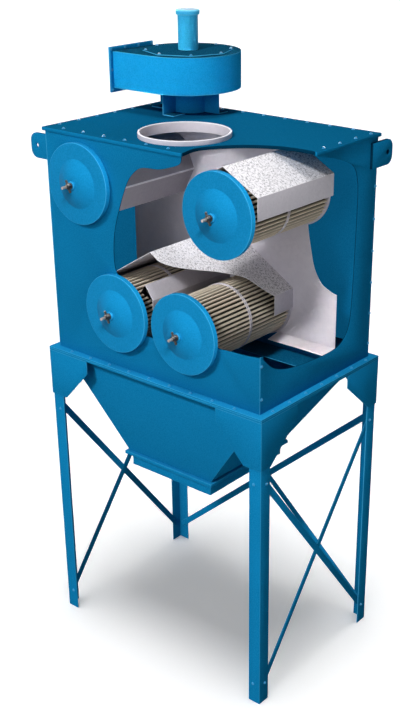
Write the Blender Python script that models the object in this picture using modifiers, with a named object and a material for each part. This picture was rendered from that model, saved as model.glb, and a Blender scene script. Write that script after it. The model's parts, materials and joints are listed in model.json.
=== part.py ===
"""Cartridge dust collector on a braced stand, shown with its front right corner cut open.

Metres, +Z up.  The front, with the four round covers, looks along -Y.  The whole assembly is
laid out about the middle of its stand and then shifted as one, so that the origin lies under
the middle of its bounding box, on the floor.
"""
import math

import bmesh
import bpy
from mathutils import Matrix, Vector

GAP = 0.0003              # play between two pieces that touch
STEPS = 32                # facets of a large round piece
SMALL_STEPS = 16          # facets of a small round piece

# ---- stand -----------------------------------------------------------------
STAND_HALF_X = 0.800
STAND_HALF_Y = 0.551
STAND_TOP = 1.832
BASE_THICK = 0.010        # plate the cabinet stands on
RING_THICK = 0.012        # flat bar ring under it
RING_WIDTH = 0.080
PLATE = 0.006             # gusset plate and leg angle
LEG_WIDTH = 0.080
GUSSET_WIDTH = 0.312
GUSSET_EDGE = 0.078       # height of the gusset's straight outer edge
GUSSET_DROP = 0.282       # height of the gusset at the leg
GUSSET_FOOT_FRONT = 0.121
GUSSET_FOOT_SIDE = 0.084
BRACE_WIDTH = 0.040
BRACE_THICK = 0.005
BRACE_INSET = 0.048       # bolt line from the leg's outer corner
BRACE_DROP = 0.397        # upper bolts of the braces, down from the stand's top
BRACE_LOW = 0.127
BRACE_LAP = 0.0015        # offset of the second bar of a pair

# ---- cabinet ---------------------------------------------------------------
CABINET_INSET_X = 0.0444  # in from the stand's sides
CABINET_INSET_Y = 0.0447
CABINET_HIGH = 1.2965     # stand's top to the upper face of the roof pan
SHEET = 0.004
ROOF_OVERHANG = 0.0124
ROOF_LIP = 0.018
RETURN = 0.030            # folded side edges of the front and back panels
LUG_REACH = 0.124         # how far a lifting lug stands past the cabinet
LUG_HEIGHT = 0.140
LUG_DROP = 0.044          # roof down to the lug's top edge
LUG_THICK = 0.016
LUG_HOLE = 0.014
LUG_LAP = 0.070           # length of the rear right lug that lies on its panel
WELD = 0.001              # how deep one welded piece runs into another
EDGE_UNDER_COVER = 0.009  # the front's cut edge ends this far under a lower cover's rim

# ---- inside the cabinet ----------------------------------------------------
TUBE_SHEET_RISE = 0.151   # height of its lower fold above the stand
TUBE_SHEET_LIP = 0.091    # forward reach of the lip
TUBE_SHEET_LIP_FALL = 0.014
NOTCH_PLAY = 0.004        # room in the lip round the lower cartridges
FLOOR_RISE = 0.0605       # underside of the plenum floor above the stand
FLOOR_REACH = 0.162       # how far it runs forward of the tube sheet
HOOD_SHEET = 0.003
HOOD_SLOPE = 0.6166
HOOD_REACH = 1.0576       # lower hood past a lower cartridge's axis, in cartridge radii
HOOD_EAVE = 0.591         # its eaves above that axis, in cartridge radii
HOOD_SETBACK = 0.0287     # upper hoods' front edge behind the front panel
BAFFLE_SETBACK = 0.012

# ---- cartridges and covers -------------------------------------------------
CAP_R = 0.198             # cartridge's end caps
CAP_THICK = 0.014
CARTRIDGE_LONG = 0.699
CAP_LIP = 0.010           # end caps stand out past the filter medium
MEDIA_DEPTH = 0.058
CORE_SHEET = 0.003
PORT_LAP = 0.048          # how far an end cap bears on the tube sheet
ACCESS_PLAY = 0.004       # front panel's opening round the cartridge
GASKET_PLAY = 0.002       # gasket round the opening
GASKET_LAND = 0.023       # cover's rim past the opening
COVER_RIM = 0.030
COVER_SHEET = 0.003
COVER_RING = 0.088        # flat ring between the rim and the dome
DOME_HIGH = 0.033
HUB_R = 0.023             # boss on the dome, under the knob
BOSS_HIGH = 0.012
UPPER_EDGE = 0.0346       # upper covers in from the cabinet's sides
UPPER_DROP = 0.0499       # upper covers below the roof
LOWER_SPLIT = 0.0246      # lower covers from the middle
LOWER_RISE = 0.103        # lower covers above the stand
ROD_R = 0.008
ROD_PLAY = 0.001
YOKE_WIDTH = 0.034
YOKE_THICK = 0.008
YOKE_LAP = 0.035
STUD_REACH = 0.106        # rod end ahead of the cover's flat face
KNOB_SPAN = 0.074
KNOB_HUB_R = 0.0145
KNOB_HUB = 0.034
KNOB_WASHER = 0.004
KNOB_WASHER_LIP = 0.0025
KNOB_ARM_R = 0.0075
KNOB_LEAN = 25            # degrees off upright

# ---- inlet, fan ------------------------------------------------------------
INLET_BACK = 0.3043       # inlet's middle behind the front panel
INLET_R = 0.250
INLET_WALL = 0.011
INLET_HIGH = 0.026
INLET_SPIGOT = 0.030
FAN_INSET_X = 0.2966      # fan's axis in from the left side
FAN_INSET_Y = 0.1523      # and from the back
NECK_R = 0.120
NECK_HIGH = 0.1315
BRACKET_WIDTH = 0.108
BRACKET_FOOT = 0.080
DRUM_R = 0.304
DRUM_HIGH = 0.207
DUCT_STEP = 0.008         # duct's inner side past the drum's axis
DUCT_NOSE = 0.014         # outlet face past the drum
FLANGE_LIP = 0.024
FLANGE_THICK = 0.012
WHEEL_R = 0.212
WHEEL_PLAY = 0.013        # service opening round the wheel
PLATE_LAP = 0.037         # cover plate past the service opening
MOTOR_R = 0.058
MOTOR_WALL = 0.006
MOTOR_FLOOR = 0.020       # bearing end of the motor housing
MOTOR_HIGH = 0.193
MOTOR_CAP_LIP = 0.010
MOTOR_CAP_HIGH = 0.028
MOTOR_CAP_HOLE = 0.008
SHAFT_R = 0.012
SHAFT_PLAY = 0.0006
WHEEL_DISC = 0.005
WHEEL_HUB = 0.022
BLADES = 8
BLADE_THICK = 0.003
BLADE_SWEEP = 0.012       # how far a blade leans back on its first step

# ---- hopper ----------------------------------------------------------------
HOPPER_Y = -0.058
HOPPER_INSET_X = 0.0136   # hopper's top in from the cabinet's walls
HOPPER_INSET_Y = 0.0703
HOPPER_FOOT_HALF = (0.318, 0.342)
HOPPER_DROP = 0.598       # stand's top down to the hopper's foot
HOPPER_SHEET = 0.004
OUTLET_LIP = 0.020
OUTLET_THICK = 0.020
SPOUT_INSET = 0.012       # spout's outside, in from the hopper's foot
SPOUT_HIGH = 0.074
SPOUT_SHEET = 0.005

# ---- worked out from the above ---------------------------------------------
BRACE_HIGH = STAND_TOP - BRACE_DROP
HOPPER_FOOT_Z = STAND_TOP - HOPPER_DROP
CABINET_HALF_X = STAND_HALF_X - CABINET_INSET_X
CABINET_HALF_Y = STAND_HALF_Y - CABINET_INSET_Y
CABINET_TOP = STAND_TOP + CABINET_HIGH
HOPPER_TOP_HALF = (CABINET_HALF_X - HOPPER_INSET_X, CABINET_HALF_Y - HOPPER_INSET_Y)
MEDIA_R = CAP_R - CAP_LIP
CORE_R = MEDIA_R - MEDIA_DEPTH
PORT_R = CAP_R - PORT_LAP
ACCESS_R = CAP_R + ACCESS_PLAY
COVER_R = ACCESS_R + GASKET_LAND
DOME_R = COVER_R - COVER_RING
UPPER_X = CABINET_HALF_X - COVER_R - UPPER_EDGE
UPPER_Z = CABINET_TOP - COVER_R - UPPER_DROP
LOWER_X = COVER_R + LOWER_SPLIT
LOWER_Z = STAND_TOP + COVER_R + LOWER_RISE
RING_Z = STAND_TOP - BASE_THICK - GAP
LEG_TOP = RING_Z - RING_THICK - GAP
WALL_FOOT = STAND_TOP + GAP
WALL_TOP = CABINET_TOP - SHEET - GAP
SIDE_INNER = CABINET_HALF_X - SHEET
FRONT_FACE = -CABINET_HALF_Y
COVER_BACK = FRONT_FACE - GAP
COVER_FACE = COVER_BACK - COVER_RIM
CAGE_FRONT = COVER_FACE + COVER_SHEET + GAP
CAGE_REAR = CAGE_FRONT + CARTRIDGE_LONG
TUBE_SHEET_Y = CAGE_REAR + GAP
TUBE_SHEET_FOLD = STAND_TOP + TUBE_SHEET_RISE
FLOOR_Z = STAND_TOP + FLOOR_RISE
FAN_X = FAN_INSET_X - CABINET_HALF_X
FAN_Y = CABINET_HALF_Y - FAN_INSET_Y
INLET_Y = FRONT_FACE + INLET_BACK
DUCT_REACH = DRUM_R + DUCT_NOSE
DUCT_WIDTH = DRUM_R + DUCT_STEP
SERVICE_R = WHEEL_R + WHEEL_PLAY
BRACKET_REACH = NECK_R + BRACKET_WIDTH
DRUM_Z = CABINET_TOP + GAP + NECK_HIGH + GAP
DRUM_TOP = DRUM_Z + DRUM_HIGH
DRUM_PLATE_TOP = DRUM_TOP + GAP + SHEET
STATIONS = {
    "upper_left": (-UPPER_X, UPPER_Z),
    "upper_right": (UPPER_X, UPPER_Z),
    "lower_left": (-LOWER_X, LOWER_Z),
    "lower_right": (LOWER_X, LOWER_Z),
}

PAINT = (0.010, 0.270, 0.600)
ZINC = (0.700, 0.680, 0.710)

for old in list(bpy.data.objects):
    bpy.data.objects.remove(old, do_unlink=True)

machine = bpy.data.collections.new("dust_collector")
cutters = bpy.data.collections.new("cutters")
bpy.context.scene.collection.children.link(machine)
bpy.context.scene.collection.children.link(cutters)

left_end = -CABINET_HALF_X - LUG_REACH
front_end = COVER_FACE - STUD_REACH
rear_end = max(FAN_Y + DRUM_R, CABINET_HALF_Y + LUG_REACH)
base = bpy.data.objects.new("stand_middle", None)
base.location = (-(left_end + STAND_HALF_X) / 2, -(front_end + rear_end) / 2, 0)
machine.objects.link(base)


# ---- tools -----------------------------------------------------------------
def material(name, colour, roughness=0.45, metallic=0.0):
    made = bpy.data.materials.new(name)
    made.use_nodes = True
    shader = made.node_tree.nodes["Principled BSDF"]
    shader.inputs["Base Color"].default_value = (*colour, 1.0)
    shader.inputs["Roughness"].default_value = roughness
    shader.inputs["Metallic"].default_value = metallic
    made.diffuse_color = (*colour, 1.0)
    return made


def place(name, mesh):
    """A new object, kept with the cutters until it is finished."""
    item = bpy.data.objects.new(name, mesh)
    cutters.objects.link(item)
    return item


def box(name, low, high):
    """A box between two corners."""
    shape = bmesh.new()
    bmesh.ops.create_cube(shape, size=1.0)
    size = [b - a for a, b in zip(low, high)]
    middle = [(a + b) / 2 for a, b in zip(low, high)]
    bmesh.ops.scale(shape, vec=size, verts=shape.verts)
    bmesh.ops.translate(shape, vec=middle, verts=shape.verts)
    mesh = bpy.data.meshes.new(name)
    shape.to_mesh(mesh)
    shape.free()
    return place(name, mesh)


def flatten(item):
    """The evaluated object as a plain mesh, with its place in its points."""
    bpy.context.view_layer.update()
    graph = bpy.context.evaluated_depsgraph_get()
    mesh = bpy.data.meshes.new_from_object(item.evaluated_get(graph))
    shape = bmesh.new()
    shape.from_mesh(mesh)
    bmesh.ops.remove_doubles(shape, verts=shape.verts, dist=0.00001)
    bmesh.ops.transform(shape, matrix=item.matrix_world, verts=shape.verts)
    bmesh.ops.recalc_face_normals(shape, faces=shape.faces)
    shape.to_mesh(mesh)
    shape.free()
    mesh.materials.clear()
    name = item.name
    bpy.data.objects.remove(item, do_unlink=True)
    return place(name, mesh)


def outline(name, loops, low, high, turn=Matrix()):
    """A flat outline, one or more closed loops of points, extruded from low to high."""
    curve = bpy.data.curves.new(name, "CURVE")
    curve.dimensions = "2D"
    curve.fill_mode = "BOTH"
    curve.extrude = (high - low) / 2
    for points in loops:
        line = curve.splines.new("POLY")
        line.points.add(len(points) - 1)
        line.use_cyclic_u = True
        for point, (a, b) in zip(line.points, points):
            point.co = (a, b, 0, 1)
    item = place(name, curve)
    item.matrix_world = turn @ Matrix.Translation((0, 0, (high + low) / 2))
    return flatten(item)


FACING_FRONT = Matrix(((1, 0, 0, 0), (0, 0, 1, 0), (0, 1, 0, 0), (0, 0, 0, 1)))
FACING_SIDE = Matrix(((0, 0, 1, 0), (1, 0, 0, 0), (0, 1, 0, 0), (0, 0, 0, 1)))


def upright(name, loops, near, far):
    """An outline of (x, z) points, extruded along Y from near to far."""
    return outline(name, loops, near, far, FACING_FRONT)


def sideways(name, loops, inner, outer):
    """An outline of (y, z) points, extruded along X from inner to outer."""
    return outline(name, loops, inner, outer, FACING_SIDE)


def circle(centre, radius, steps=STEPS, start=0.0, sweep=2 * math.pi):
    """Points round a circle, or along an arc of it with both ends."""
    count = steps if sweep >= 2 * math.pi else steps + 1
    return [(centre[0] + radius * math.cos(start + sweep * i / steps),
             centre[1] + radius * math.sin(start + sweep * i / steps)) for i in range(count)]


def smooth_line(points, steps=4):
    """A smooth curve through a few points, as a polyline."""
    line = []
    last = len(points) - 1
    for i in range(last):
        ring = [points[max(0, min(last, i + k))] for k in (-1, 0, 1, 2)]
        for step in range(steps):
            t = step / steps
            weights = (
                (-t ** 3 + 2 * t ** 2 - t) / 2,
                (3 * t ** 3 - 5 * t ** 2 + 2) / 2,
                (-3 * t ** 3 + 4 * t ** 2 + t) / 2,
                (t ** 3 - t ** 2) / 2,
            )
            line.append(tuple(sum(w * p[k] for w, p in zip(weights, ring)) for k in (0, 1)))
    return line + [points[-1]]


def shifted(line, distance):
    """The polyline moved sideways, to its left where the distance is positive."""
    moved = []
    for i, point in enumerate(line):
        before = Vector(line[max(0, i - 1)])
        after = Vector(line[min(len(line) - 1, i + 1)])
        along = (after - before).normalized()
        moved.append((point[0] - along.y * distance, point[1] + along.x * distance))
    return moved


def turned(name, profile, centre, axis="Z", steps=STEPS):
    """A solid of revolution.  The profile is a closed loop of (radius, height) points."""
    shape = bmesh.new()
    points = [shape.verts.new((radius, 0, height)) for radius, height in profile]
    for i, point in enumerate(points):
        shape.edges.new((point, points[(i + 1) % len(points)]))
    mesh = bpy.data.meshes.new(name)
    shape.to_mesh(mesh)
    shape.free()
    item = place(name, mesh)
    screw = item.modifiers.new("turn", "SCREW")
    screw.steps = steps
    screw.render_steps = steps
    screw.use_merge_vertices = True
    screw.merge_threshold = 0.00001
    if axis == "Y":
        item.rotation_euler = (math.radians(90), 0, 0)
    item.location = centre
    return flatten(item)


def round_bar(name, radius, start, end, steps=SMALL_STEPS):
    """A cylinder between two points."""
    run = Vector(end) - Vector(start)
    shape = bmesh.new()
    bmesh.ops.create_cone(shape, cap_ends=True, segments=steps, radius1=radius,
                          radius2=radius, depth=run.length)
    turn = run.to_track_quat("Z", "Y").to_matrix().to_4x4()
    middle = Matrix.Translation((Vector(start) + Vector(end)) / 2)
    bmesh.ops.transform(shape, matrix=middle @ turn, verts=shape.verts)
    mesh = bpy.data.meshes.new(name)
    shape.to_mesh(mesh)
    shape.free()
    return place(name, mesh)


def combine(item, others, operation, solver="EXACT"):
    """Joins other shapes to the item, or cuts them out of it."""
    for other in others:
        other.hide_render = True
        other.display_type = "WIRE"
        change = item.modifiers.new(operation.lower(), "BOOLEAN")
        change.operation = operation
        change.solver = solver
        change.object = other
    return item


def finish(item, name, look):
    """Names the piece, gives it its own material and puts it on the machine."""
    item.name = name
    item.data.name = name
    item.data.materials.clear()
    item.data.materials.append(material(name, *look))
    cutters.objects.unlink(item)
    machine.objects.link(item)
    return item


def cut(item, *others):
    return combine(item, others, "DIFFERENCE")


def join(item, *others):
    return combine(item, others, "UNION")


LOOK_PAINT = (PAINT, 0.38, 0.0)
LOOK_ZINC = (ZINC, 0.42, 0.6)
LOOK_STEEL = ((0.55, 0.55, 0.56), 0.35, 1.0)
LOOK_RUBBER = ((0.03, 0.03, 0.03), 0.85, 0.0)
LOOK_PAPER = ((0.62, 0.52, 0.36), 0.9, 0.0)
LOOK_CAST = ((0.05, 0.05, 0.055), 0.4, 0.8)


# ---- stand -----------------------------------------------------------------
def corners():
    """Name and signs of the four corners of the stand."""
    for side_y, first in ((-1, "front"), (1, "rear")):
        for side_x, second in ((-1, "left"), (1, "right")):
            yield f"{first}_{second}", side_x, side_y


def legs():
    """Four steel angles, corner outward, each on its bare cut end."""
    outer_x = STAND_HALF_X - PLATE
    outer_y = STAND_HALF_Y - PLATE
    for name, side_x, side_y in corners():
        angle = [(0, 0), (LEG_WIDTH, 0), (LEG_WIDTH, PLATE), (PLATE, PLATE), (PLATE, LEG_WIDTH),
                 (0, LEG_WIDTH)]
        points = [(side_x * (outer_x - a), side_y * (outer_y - b)) for a, b in angle]
        finish(outline("leg", [points], 0, LEG_TOP), f"leg_{name}", LOOK_PAINT)


def gussets():
    """Folded corner plates that wrap the tops of the legs."""
    top = LEG_TOP + GAP / 2
    for name, side_x, side_y in corners():
        def plate_points(edge, side, foot):
            shape = [(0, 0), (GUSSET_WIDTH, 0), (GUSSET_WIDTH, GUSSET_EDGE), (foot, GUSSET_DROP),
                     (0, GUSSET_DROP)]
            return [(side * (edge - a), top - b) for a, b in shape]

        near = sorted((side_y * STAND_HALF_Y, side_y * (STAND_HALF_Y - PLATE + GAP)))
        face = upright("gusset", [plate_points(STAND_HALF_X, side_x, GUSSET_FOOT_FRONT)], *near)
        near = sorted((side_x * STAND_HALF_X, side_x * (STAND_HALF_X - PLATE + GAP)))
        side = sideways("gusset_side", [plate_points(STAND_HALF_Y, side_y, GUSSET_FOOT_SIDE)], *near)
        finish(join(face, side), f"gusset_{name}", LOOK_PAINT)


def brace_bar(start, end):
    """Outline of one flat bar between two bolt points, half its width past each."""
    start, end = Vector(start), Vector(end)
    along = (end - start).normalized()
    across = Vector((-along.y, along.x)) * BRACE_WIDTH / 2
    start = start - along * BRACE_WIDTH / 2
    end = end + along * BRACE_WIDTH / 2
    return [tuple(point) for point in (start - across, end - across, end + across, start + across)]


def braces():
    """Crossed flat bars, lapped and welded where they cross, on both sides and at the rear."""
    reach_y = STAND_HALF_Y - PLATE - BRACE_INSET
    reach_x = STAND_HALF_X - PLATE - BRACE_INSET
    inner_x = STAND_HALF_X - 2 * PLATE - GAP
    inner_y = STAND_HALF_Y - 2 * PLATE - GAP
    for name, side in (("left", -1), ("right", 1)):
        bars = []
        for way, lap in ((1, 0), (-1, BRACE_LAP)):
            face = side * (inner_x - lap)
            span = sorted((face, face - side * BRACE_THICK))
            points = brace_bar((-reach_y * way, BRACE_HIGH), (reach_y * way, BRACE_LOW))
            bars.append(sideways("brace", [points], *span))
        finish(join(*bars), f"brace_{name}", LOOK_PAINT)
    bars = []
    for way, lap in ((1, 0), (-1, BRACE_LAP)):
        points = brace_bar((-reach_x * way, BRACE_HIGH), (reach_x * way, BRACE_LOW))
        bars.append(upright("brace", [points], inner_y - lap - BRACE_THICK, inner_y - lap))
    finish(join(*bars), "brace_rear", LOOK_PAINT)


def rectangle(half_x, low_y, high_y):
    return [(-half_x, low_y), (half_x, low_y), (half_x, high_y), (-half_x, high_y)]


def hopper_mouth(margin):
    """The hopper's top opening, smaller all round by the margin."""
    half_x, half_y = HOPPER_TOP_HALF
    return rectangle(half_x - margin, HOPPER_Y - half_y + margin, HOPPER_Y + half_y - margin)


def stand_rings():
    """The flat bar ring on the legs, and the cabinet's base plate on top of it."""
    outer = rectangle(STAND_HALF_X, -STAND_HALF_Y, STAND_HALF_Y)
    inner = rectangle(STAND_HALF_X - RING_WIDTH, RING_WIDTH - STAND_HALF_Y,
                      STAND_HALF_Y - RING_WIDTH)
    ring = outline("ring", [outer, inner], RING_Z - RING_THICK, RING_Z)
    finish(ring, "stand_ring", LOOK_PAINT)
    mouth = hopper_mouth(RING_WIDTH / 2)
    plate = outline("plate", [outer, mouth], RING_Z + GAP, STAND_TOP)
    finish(plate, "cabinet_base", LOOK_PAINT)


def pyramid(name, top_half, top_z, foot_half, foot_z):
    """A four-sided funnel body between two rectangles."""
    shape = bmesh.new()
    bmesh.ops.create_cube(shape, size=2.0)
    for point in shape.verts:
        half, height = (top_half, top_z) if point.co.z > 0 else (foot_half, foot_z)
        point.co = (point.co.x * half[0], HOPPER_Y + point.co.y * half[1], height)
    mesh = bpy.data.meshes.new(name)
    shape.to_mesh(mesh)
    shape.free()
    return place(name, mesh)


def hopper():
    """Sheet funnel under the cabinet, its outlet flange, and the discharge spout below."""
    top = LEG_TOP
    shell = pyramid("hopper", HOPPER_TOP_HALF, top, HOPPER_FOOT_HALF, HOPPER_FOOT_Z)
    inner_top = [half - HOPPER_SHEET for half in HOPPER_TOP_HALF]
    inner_foot = [half - HOPPER_SHEET for half in HOPPER_FOOT_HALF]
    slack = 0.02
    rise = [(a - b) / (top - HOPPER_FOOT_Z) * slack for a, b in zip(inner_top, inner_foot)]
    hollow = pyramid("hollow", [a + b for a, b in zip(inner_top, rise)], top + slack,
                     [a - b for a, b in zip(inner_foot, rise)], HOPPER_FOOT_Z - slack)
    finish(cut(shell, hollow), "hopper", LOOK_PAINT)

    half_x, half_y = HOPPER_FOOT_HALF

    def ring(inset):
        return rectangle(half_x - inset, HOPPER_Y - half_y + inset, HOPPER_Y + half_y - inset)

    high = HOPPER_FOOT_Z - GAP
    bore = ring(SPOUT_INSET + SPOUT_SHEET)
    flange = outline("flange", [ring(-OUTLET_LIP), bore], high - OUTLET_THICK, high)
    finish(flange, "hopper_flange", LOOK_PAINT)
    high -= OUTLET_THICK + GAP
    spout = outline("spout", [ring(SPOUT_INSET), bore], high - SPOUT_HIGH, high)
    finish(spout, "hopper_spout", LOOK_PAINT)


# ---- cabinet ---------------------------------------------------------------
def lug(edge, away, lap):
    """Outline of a lifting lug: a tab past the edge, its free end rounded, with its eye."""
    top = CABINET_TOP - LUG_DROP
    radius = LUG_HEIGHT / 3
    ends = [(top - radius, math.pi / 2), (top - LUG_HEIGHT + radius, 0)]
    arcs = []
    for height, start in ends:
        arcs += circle((LUG_REACH - radius, height), radius, 6, start, -math.pi / 2)
    points = [(-lap, top)] + arcs + [(-lap, top - LUG_HEIGHT)]
    eye = circle((LUG_REACH - radius, top - LUG_HEIGHT / 2), LUG_HOLE, SMALL_STEPS)
    return [[(edge + away * a, b) for a, b in loop] for loop in (points, eye)]


def on_panel(half, shares):
    """Points of a front or side panel, in shares of its half width and of its height."""
    return [(half * a, STAND_TOP + CABINET_HIGH * b) for a, b in shares]


def front_cut():
    """The cut-away of the front: right of a wavy line and down to the lower covers."""
    collar = COVER_R - EDGE_UNDER_COVER
    first = circle((-LOWER_X, LOWER_Z), collar, 14, math.radians(86), -math.radians(110))
    second = circle((LOWER_X, LOWER_Z), collar, 22, math.radians(204), -math.radians(210))
    foot_x, foot_z = first[0]
    width = INLET_R - SHEET - foot_x
    height = CABINET_TOP - foot_z
    edge = smooth_line([(foot_x + width * a, foot_z + height * b) for a, b in [
        (1.0000, 1.0600), (1.0000, 0.9688), (0.9667, 0.9170), (0.8273, 0.8811), (0.6587, 0.8533),
        (0.4527, 0.8440), (0.3278, 0.8094), (0.1946, 0.7138), (0.0615, 0.5199), (-0.0280, 0.3513),
        (-0.0613, 0.1986), (-0.0551, 0.0737), (-0.0072, 0.0034)]], 4)
    start = second[-1][0]
    sill = smooth_line([(start + (CABINET_HALF_X - start) * a, LOWER_Z - b) for a, b in
                        [(0.12, 0.027), (0.28, 0.023), (0.70, 0.017), (1.16, 0.001)]], 4)
    return edge + first + second + sill + [(sill[-1][0], edge[0][1])]


def tray(name, half, face, inward):
    """An upright sheet whose two side edges are folded inward."""
    low_high = sorted((face, face + inward * RETURN))
    sheet = box(name, (-half, low_high[0], WALL_FOOT), (half, low_high[1], WALL_TOP))
    low_high = sorted((face + inward * SHEET, face + inward))
    hollow = box("hollow", (SHEET - half, low_high[0], WALL_FOOT - 1),
                 (half - SHEET, low_high[1], WALL_TOP + 1))
    return cut(sheet, hollow)


def front_panel():
    """Front sheet with its folded side edges and three access openings."""
    sheet = tray("front", SIDE_INNER - GAP, FRONT_FACE, 1)
    spots = [spot for name, spot in STATIONS.items() if name != "upper_right"]
    doors = [upright("door", [circle(spot, ACCESS_R)], FRONT_FACE - 1, FRONT_FACE + 2 * SHEET)
             for spot in spots]
    away = upright("front_cut", [front_cut()], FRONT_FACE - 1, FRONT_FACE + 2 * RETURN)
    combine(sheet, [away] + doors, "DIFFERENCE", "MANIFOLD")
    finish(sheet, "front_panel", LOOK_PAINT)


def back_panel():
    finish(tray("back", SIDE_INNER - GAP, CABINET_HALF_Y, -1), "back_panel", LOOK_PAINT)


def left_panel():
    """Left sheet with a lifting lug at each end."""
    outer = -CABINET_HALF_X
    sheet = box("sheet", (outer, -CABINET_HALF_Y, WALL_FOOT),
                (-SIDE_INNER, CABINET_HALF_Y, WALL_TOP))
    near, far = CABINET_HALF_Y - WELD - LUG_THICK, CABINET_HALF_Y - WELD
    lugs = [upright("lug", lug(outer, -1, 2 * WELD), *span) for span in ((-far, -near), (near, far))]
    finish(join(sheet, *lugs), "left_panel", LOOK_PAINT)


def side_cut():
    """The cut-away of the right side: open to the front, with two round corners."""
    lower = smooth_line(on_panel(CABINET_HALF_Y, [
        (-1.0988, 0.2761), (-1.0000, 0.2514), (-0.7900, 0.1774), (-0.5274, 0.1411),
        (-0.1462, 0.1219), (0.2568, 0.1180), (0.4385, 0.1342), (0.5629, 0.1836), (0.6123, 0.2684),
        (0.6360, 0.4381), (0.6538, 0.6695), (0.6577, 0.7621)]), 4)
    upper = smooth_line(on_panel(CABINET_HALF_Y, [
        (0.6498, 0.8106), (0.6044, 0.8677), (0.5175, 0.9032), (0.3180, 0.9356), (0.0790, 0.9626),
        (-0.0593, 0.9765), (-0.0889, 0.9873), (-0.0889, 1.0386)]), 4)
    return lower + upper + [(lower[0][0], upper[-1][1])]


def right_panel():
    """Right sheet with its big cut-away, and a lifting lug on its outside at the rear."""
    sheet = box("sheet", (SIDE_INNER, -CABINET_HALF_Y, WALL_FOOT),
                (CABINET_HALF_X, CABINET_HALF_Y, WALL_TOP))
    away = sideways("side_cut", [side_cut()], 0, 1)
    span = (CABINET_HALF_X - 2 * WELD, CABINET_HALF_X + LUG_THICK)
    tab = sideways("lug", lug(CABINET_HALF_Y, 1, LUG_LAP), *span)
    finish(join(cut(sheet, away), tab), "right_panel", LOOK_PAINT)


def roof_edge():
    """The curve along which the roof is cut away, from its front edge to its right edge."""
    room = CABINET_HALF_X - INLET_R
    return smooth_line([(INLET_R + room * a, CABINET_HALF_Y * b) for a, b in [
        (0.0237, -1.1975), (0.0099, -1.0053), (-0.0277, -0.7486), (0.0930, -0.5135),
        (0.3125, -0.2943), (0.5953, -0.1541), (0.8900, -0.1205), (1.0522, -0.1521),
        (1.1867, -0.1975)]], 5)


def roof_cut(line):
    far = 2 * CABINET_HALF_X
    return line + [(far, line[-1][1]), (far, line[0][1])]


def roof_rim(margin):
    reach_y = CABINET_HALF_Y + ROOF_OVERHANG - margin
    return rectangle(CABINET_HALF_X + ROOF_OVERHANG - margin, -reach_y, reach_y)


def top_panel():
    """Roof pan with a turned-down lip all round, also along its cut edge."""
    low = CABINET_TOP - ROOF_LIP
    pan = outline("pan", [roof_rim(0)], low, CABINET_TOP)
    edge = roof_edge()
    hollow = outline("hollow", [roof_rim(SHEET)], low - 1, CABINET_TOP - SHEET)
    keep = outline("keep", [roof_cut(shifted(edge, SHEET))], low - 2, CABINET_TOP + 1)
    away = outline("roof_cut", [roof_cut(edge)], low - 2, CABINET_TOP + 1)
    above, below = CABINET_TOP + ROOF_LIP, CABINET_TOP - ROOF_LIP
    inlet = round_bar("inlet", INLET_R - INLET_WALL / 2, (0, INLET_Y, below), (0, INLET_Y, above),
                      STEPS)
    intake = round_bar("intake", NECK_R - SHEET, (FAN_X, FAN_Y, below), (FAN_X, FAN_Y, above),
                       STEPS)
    cut(hollow, keep)
    finish(cut(pan, hollow, away, inlet, intake), "top_panel", LOOK_PAINT)


# ---- inside the cabinet ----------------------------------------------------
def plenum_floor():
    """Shelf that closes the clean-air space, with an upstand under the tube sheet."""
    half = SIDE_INNER - GAP
    rear = CABINET_HALF_Y - SHEET - GAP
    front = TUBE_SHEET_Y - FLOOR_REACH
    shelf = box("shelf", (-half, front, FLOOR_Z), (half, rear, FLOOR_Z + SHEET))
    upstand = box("upstand", (-half, TUBE_SHEET_Y, FLOOR_Z + SHEET / 2),
                  (half, TUBE_SHEET_Y + SHEET, TUBE_SHEET_FOLD - GAP))
    notches = [box("notch", (side * half - RETURN / 2, rear - RETURN, FLOOR_Z - 1),
                   (side * half + RETURN / 2, rear + 1, FLOOR_Z + 1)) for side in (-1, 1)]
    finish(cut(join(shelf, upstand), *notches), "plenum_floor", LOOK_PAINT)


def tube_sheet_cut():
    """The cut-away of the tube sheet, behind the right-hand cartridges."""
    edge = smooth_line(on_panel(CABINET_HALF_X, [
        (1.1323, 0.3579), (0.9899, 0.3617), (0.9132, 0.3764), (0.8523, 0.3988), (0.7914, 0.4566),
        (0.7530, 0.5469), (0.7253, 0.6371), (0.7147, 0.7466), (0.7147, 0.9009), (0.7147, 1.0771)]), 4)
    return edge + [(edge[0][0], edge[-1][1])]


def tube_sheet():
    """Zinc-coated sheet that carries the cartridges, its lower edge bent forward."""
    half = SIDE_INNER - GAP
    back = TUBE_SHEET_Y + SHEET
    lip = TUBE_SHEET_Y - TUBE_SHEET_LIP
    fold, tip = TUBE_SHEET_FOLD, TUBE_SHEET_FOLD - TUBE_SHEET_LIP_FALL
    section = [(back, fold), (back, WALL_TOP), (TUBE_SHEET_Y, WALL_TOP),
               (TUBE_SHEET_Y, fold + SHEET), (lip, tip + SHEET), (lip, tip), (TUBE_SHEET_Y, fold)]
    sheet = sideways("sheet", [section], -half, half)
    ports = [upright("port", [circle(spot, PORT_R)], lip - 1, back + 1)
             for spot in STATIONS.values()]
    away = upright("tube_sheet_cut", [tube_sheet_cut()], lip - 1, back + 1)
    room = CAP_R + NOTCH_PLAY
    chord = math.sqrt(room ** 2 - (LOWER_Z - fold - SHEET) ** 2)
    notches = [box("notch", (side * LOWER_X - chord, lip - 1, tip - 1),
                   (side * LOWER_X + chord, TUBE_SHEET_Y + WELD / 2, fold + 2 * SHEET))
               for side in (-1, 1)]
    finish(cut(sheet, *ports, *notches, away), "tube_sheet", LOOK_ZINC)


def folded_strip(name, line, front, rear):
    """A folded sheet that follows a line of (x, z) points, as wide as the hood is long."""
    under = shifted(line, -HOOD_SHEET)
    return upright(name, [line + under[::-1]], front, rear)


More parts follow.
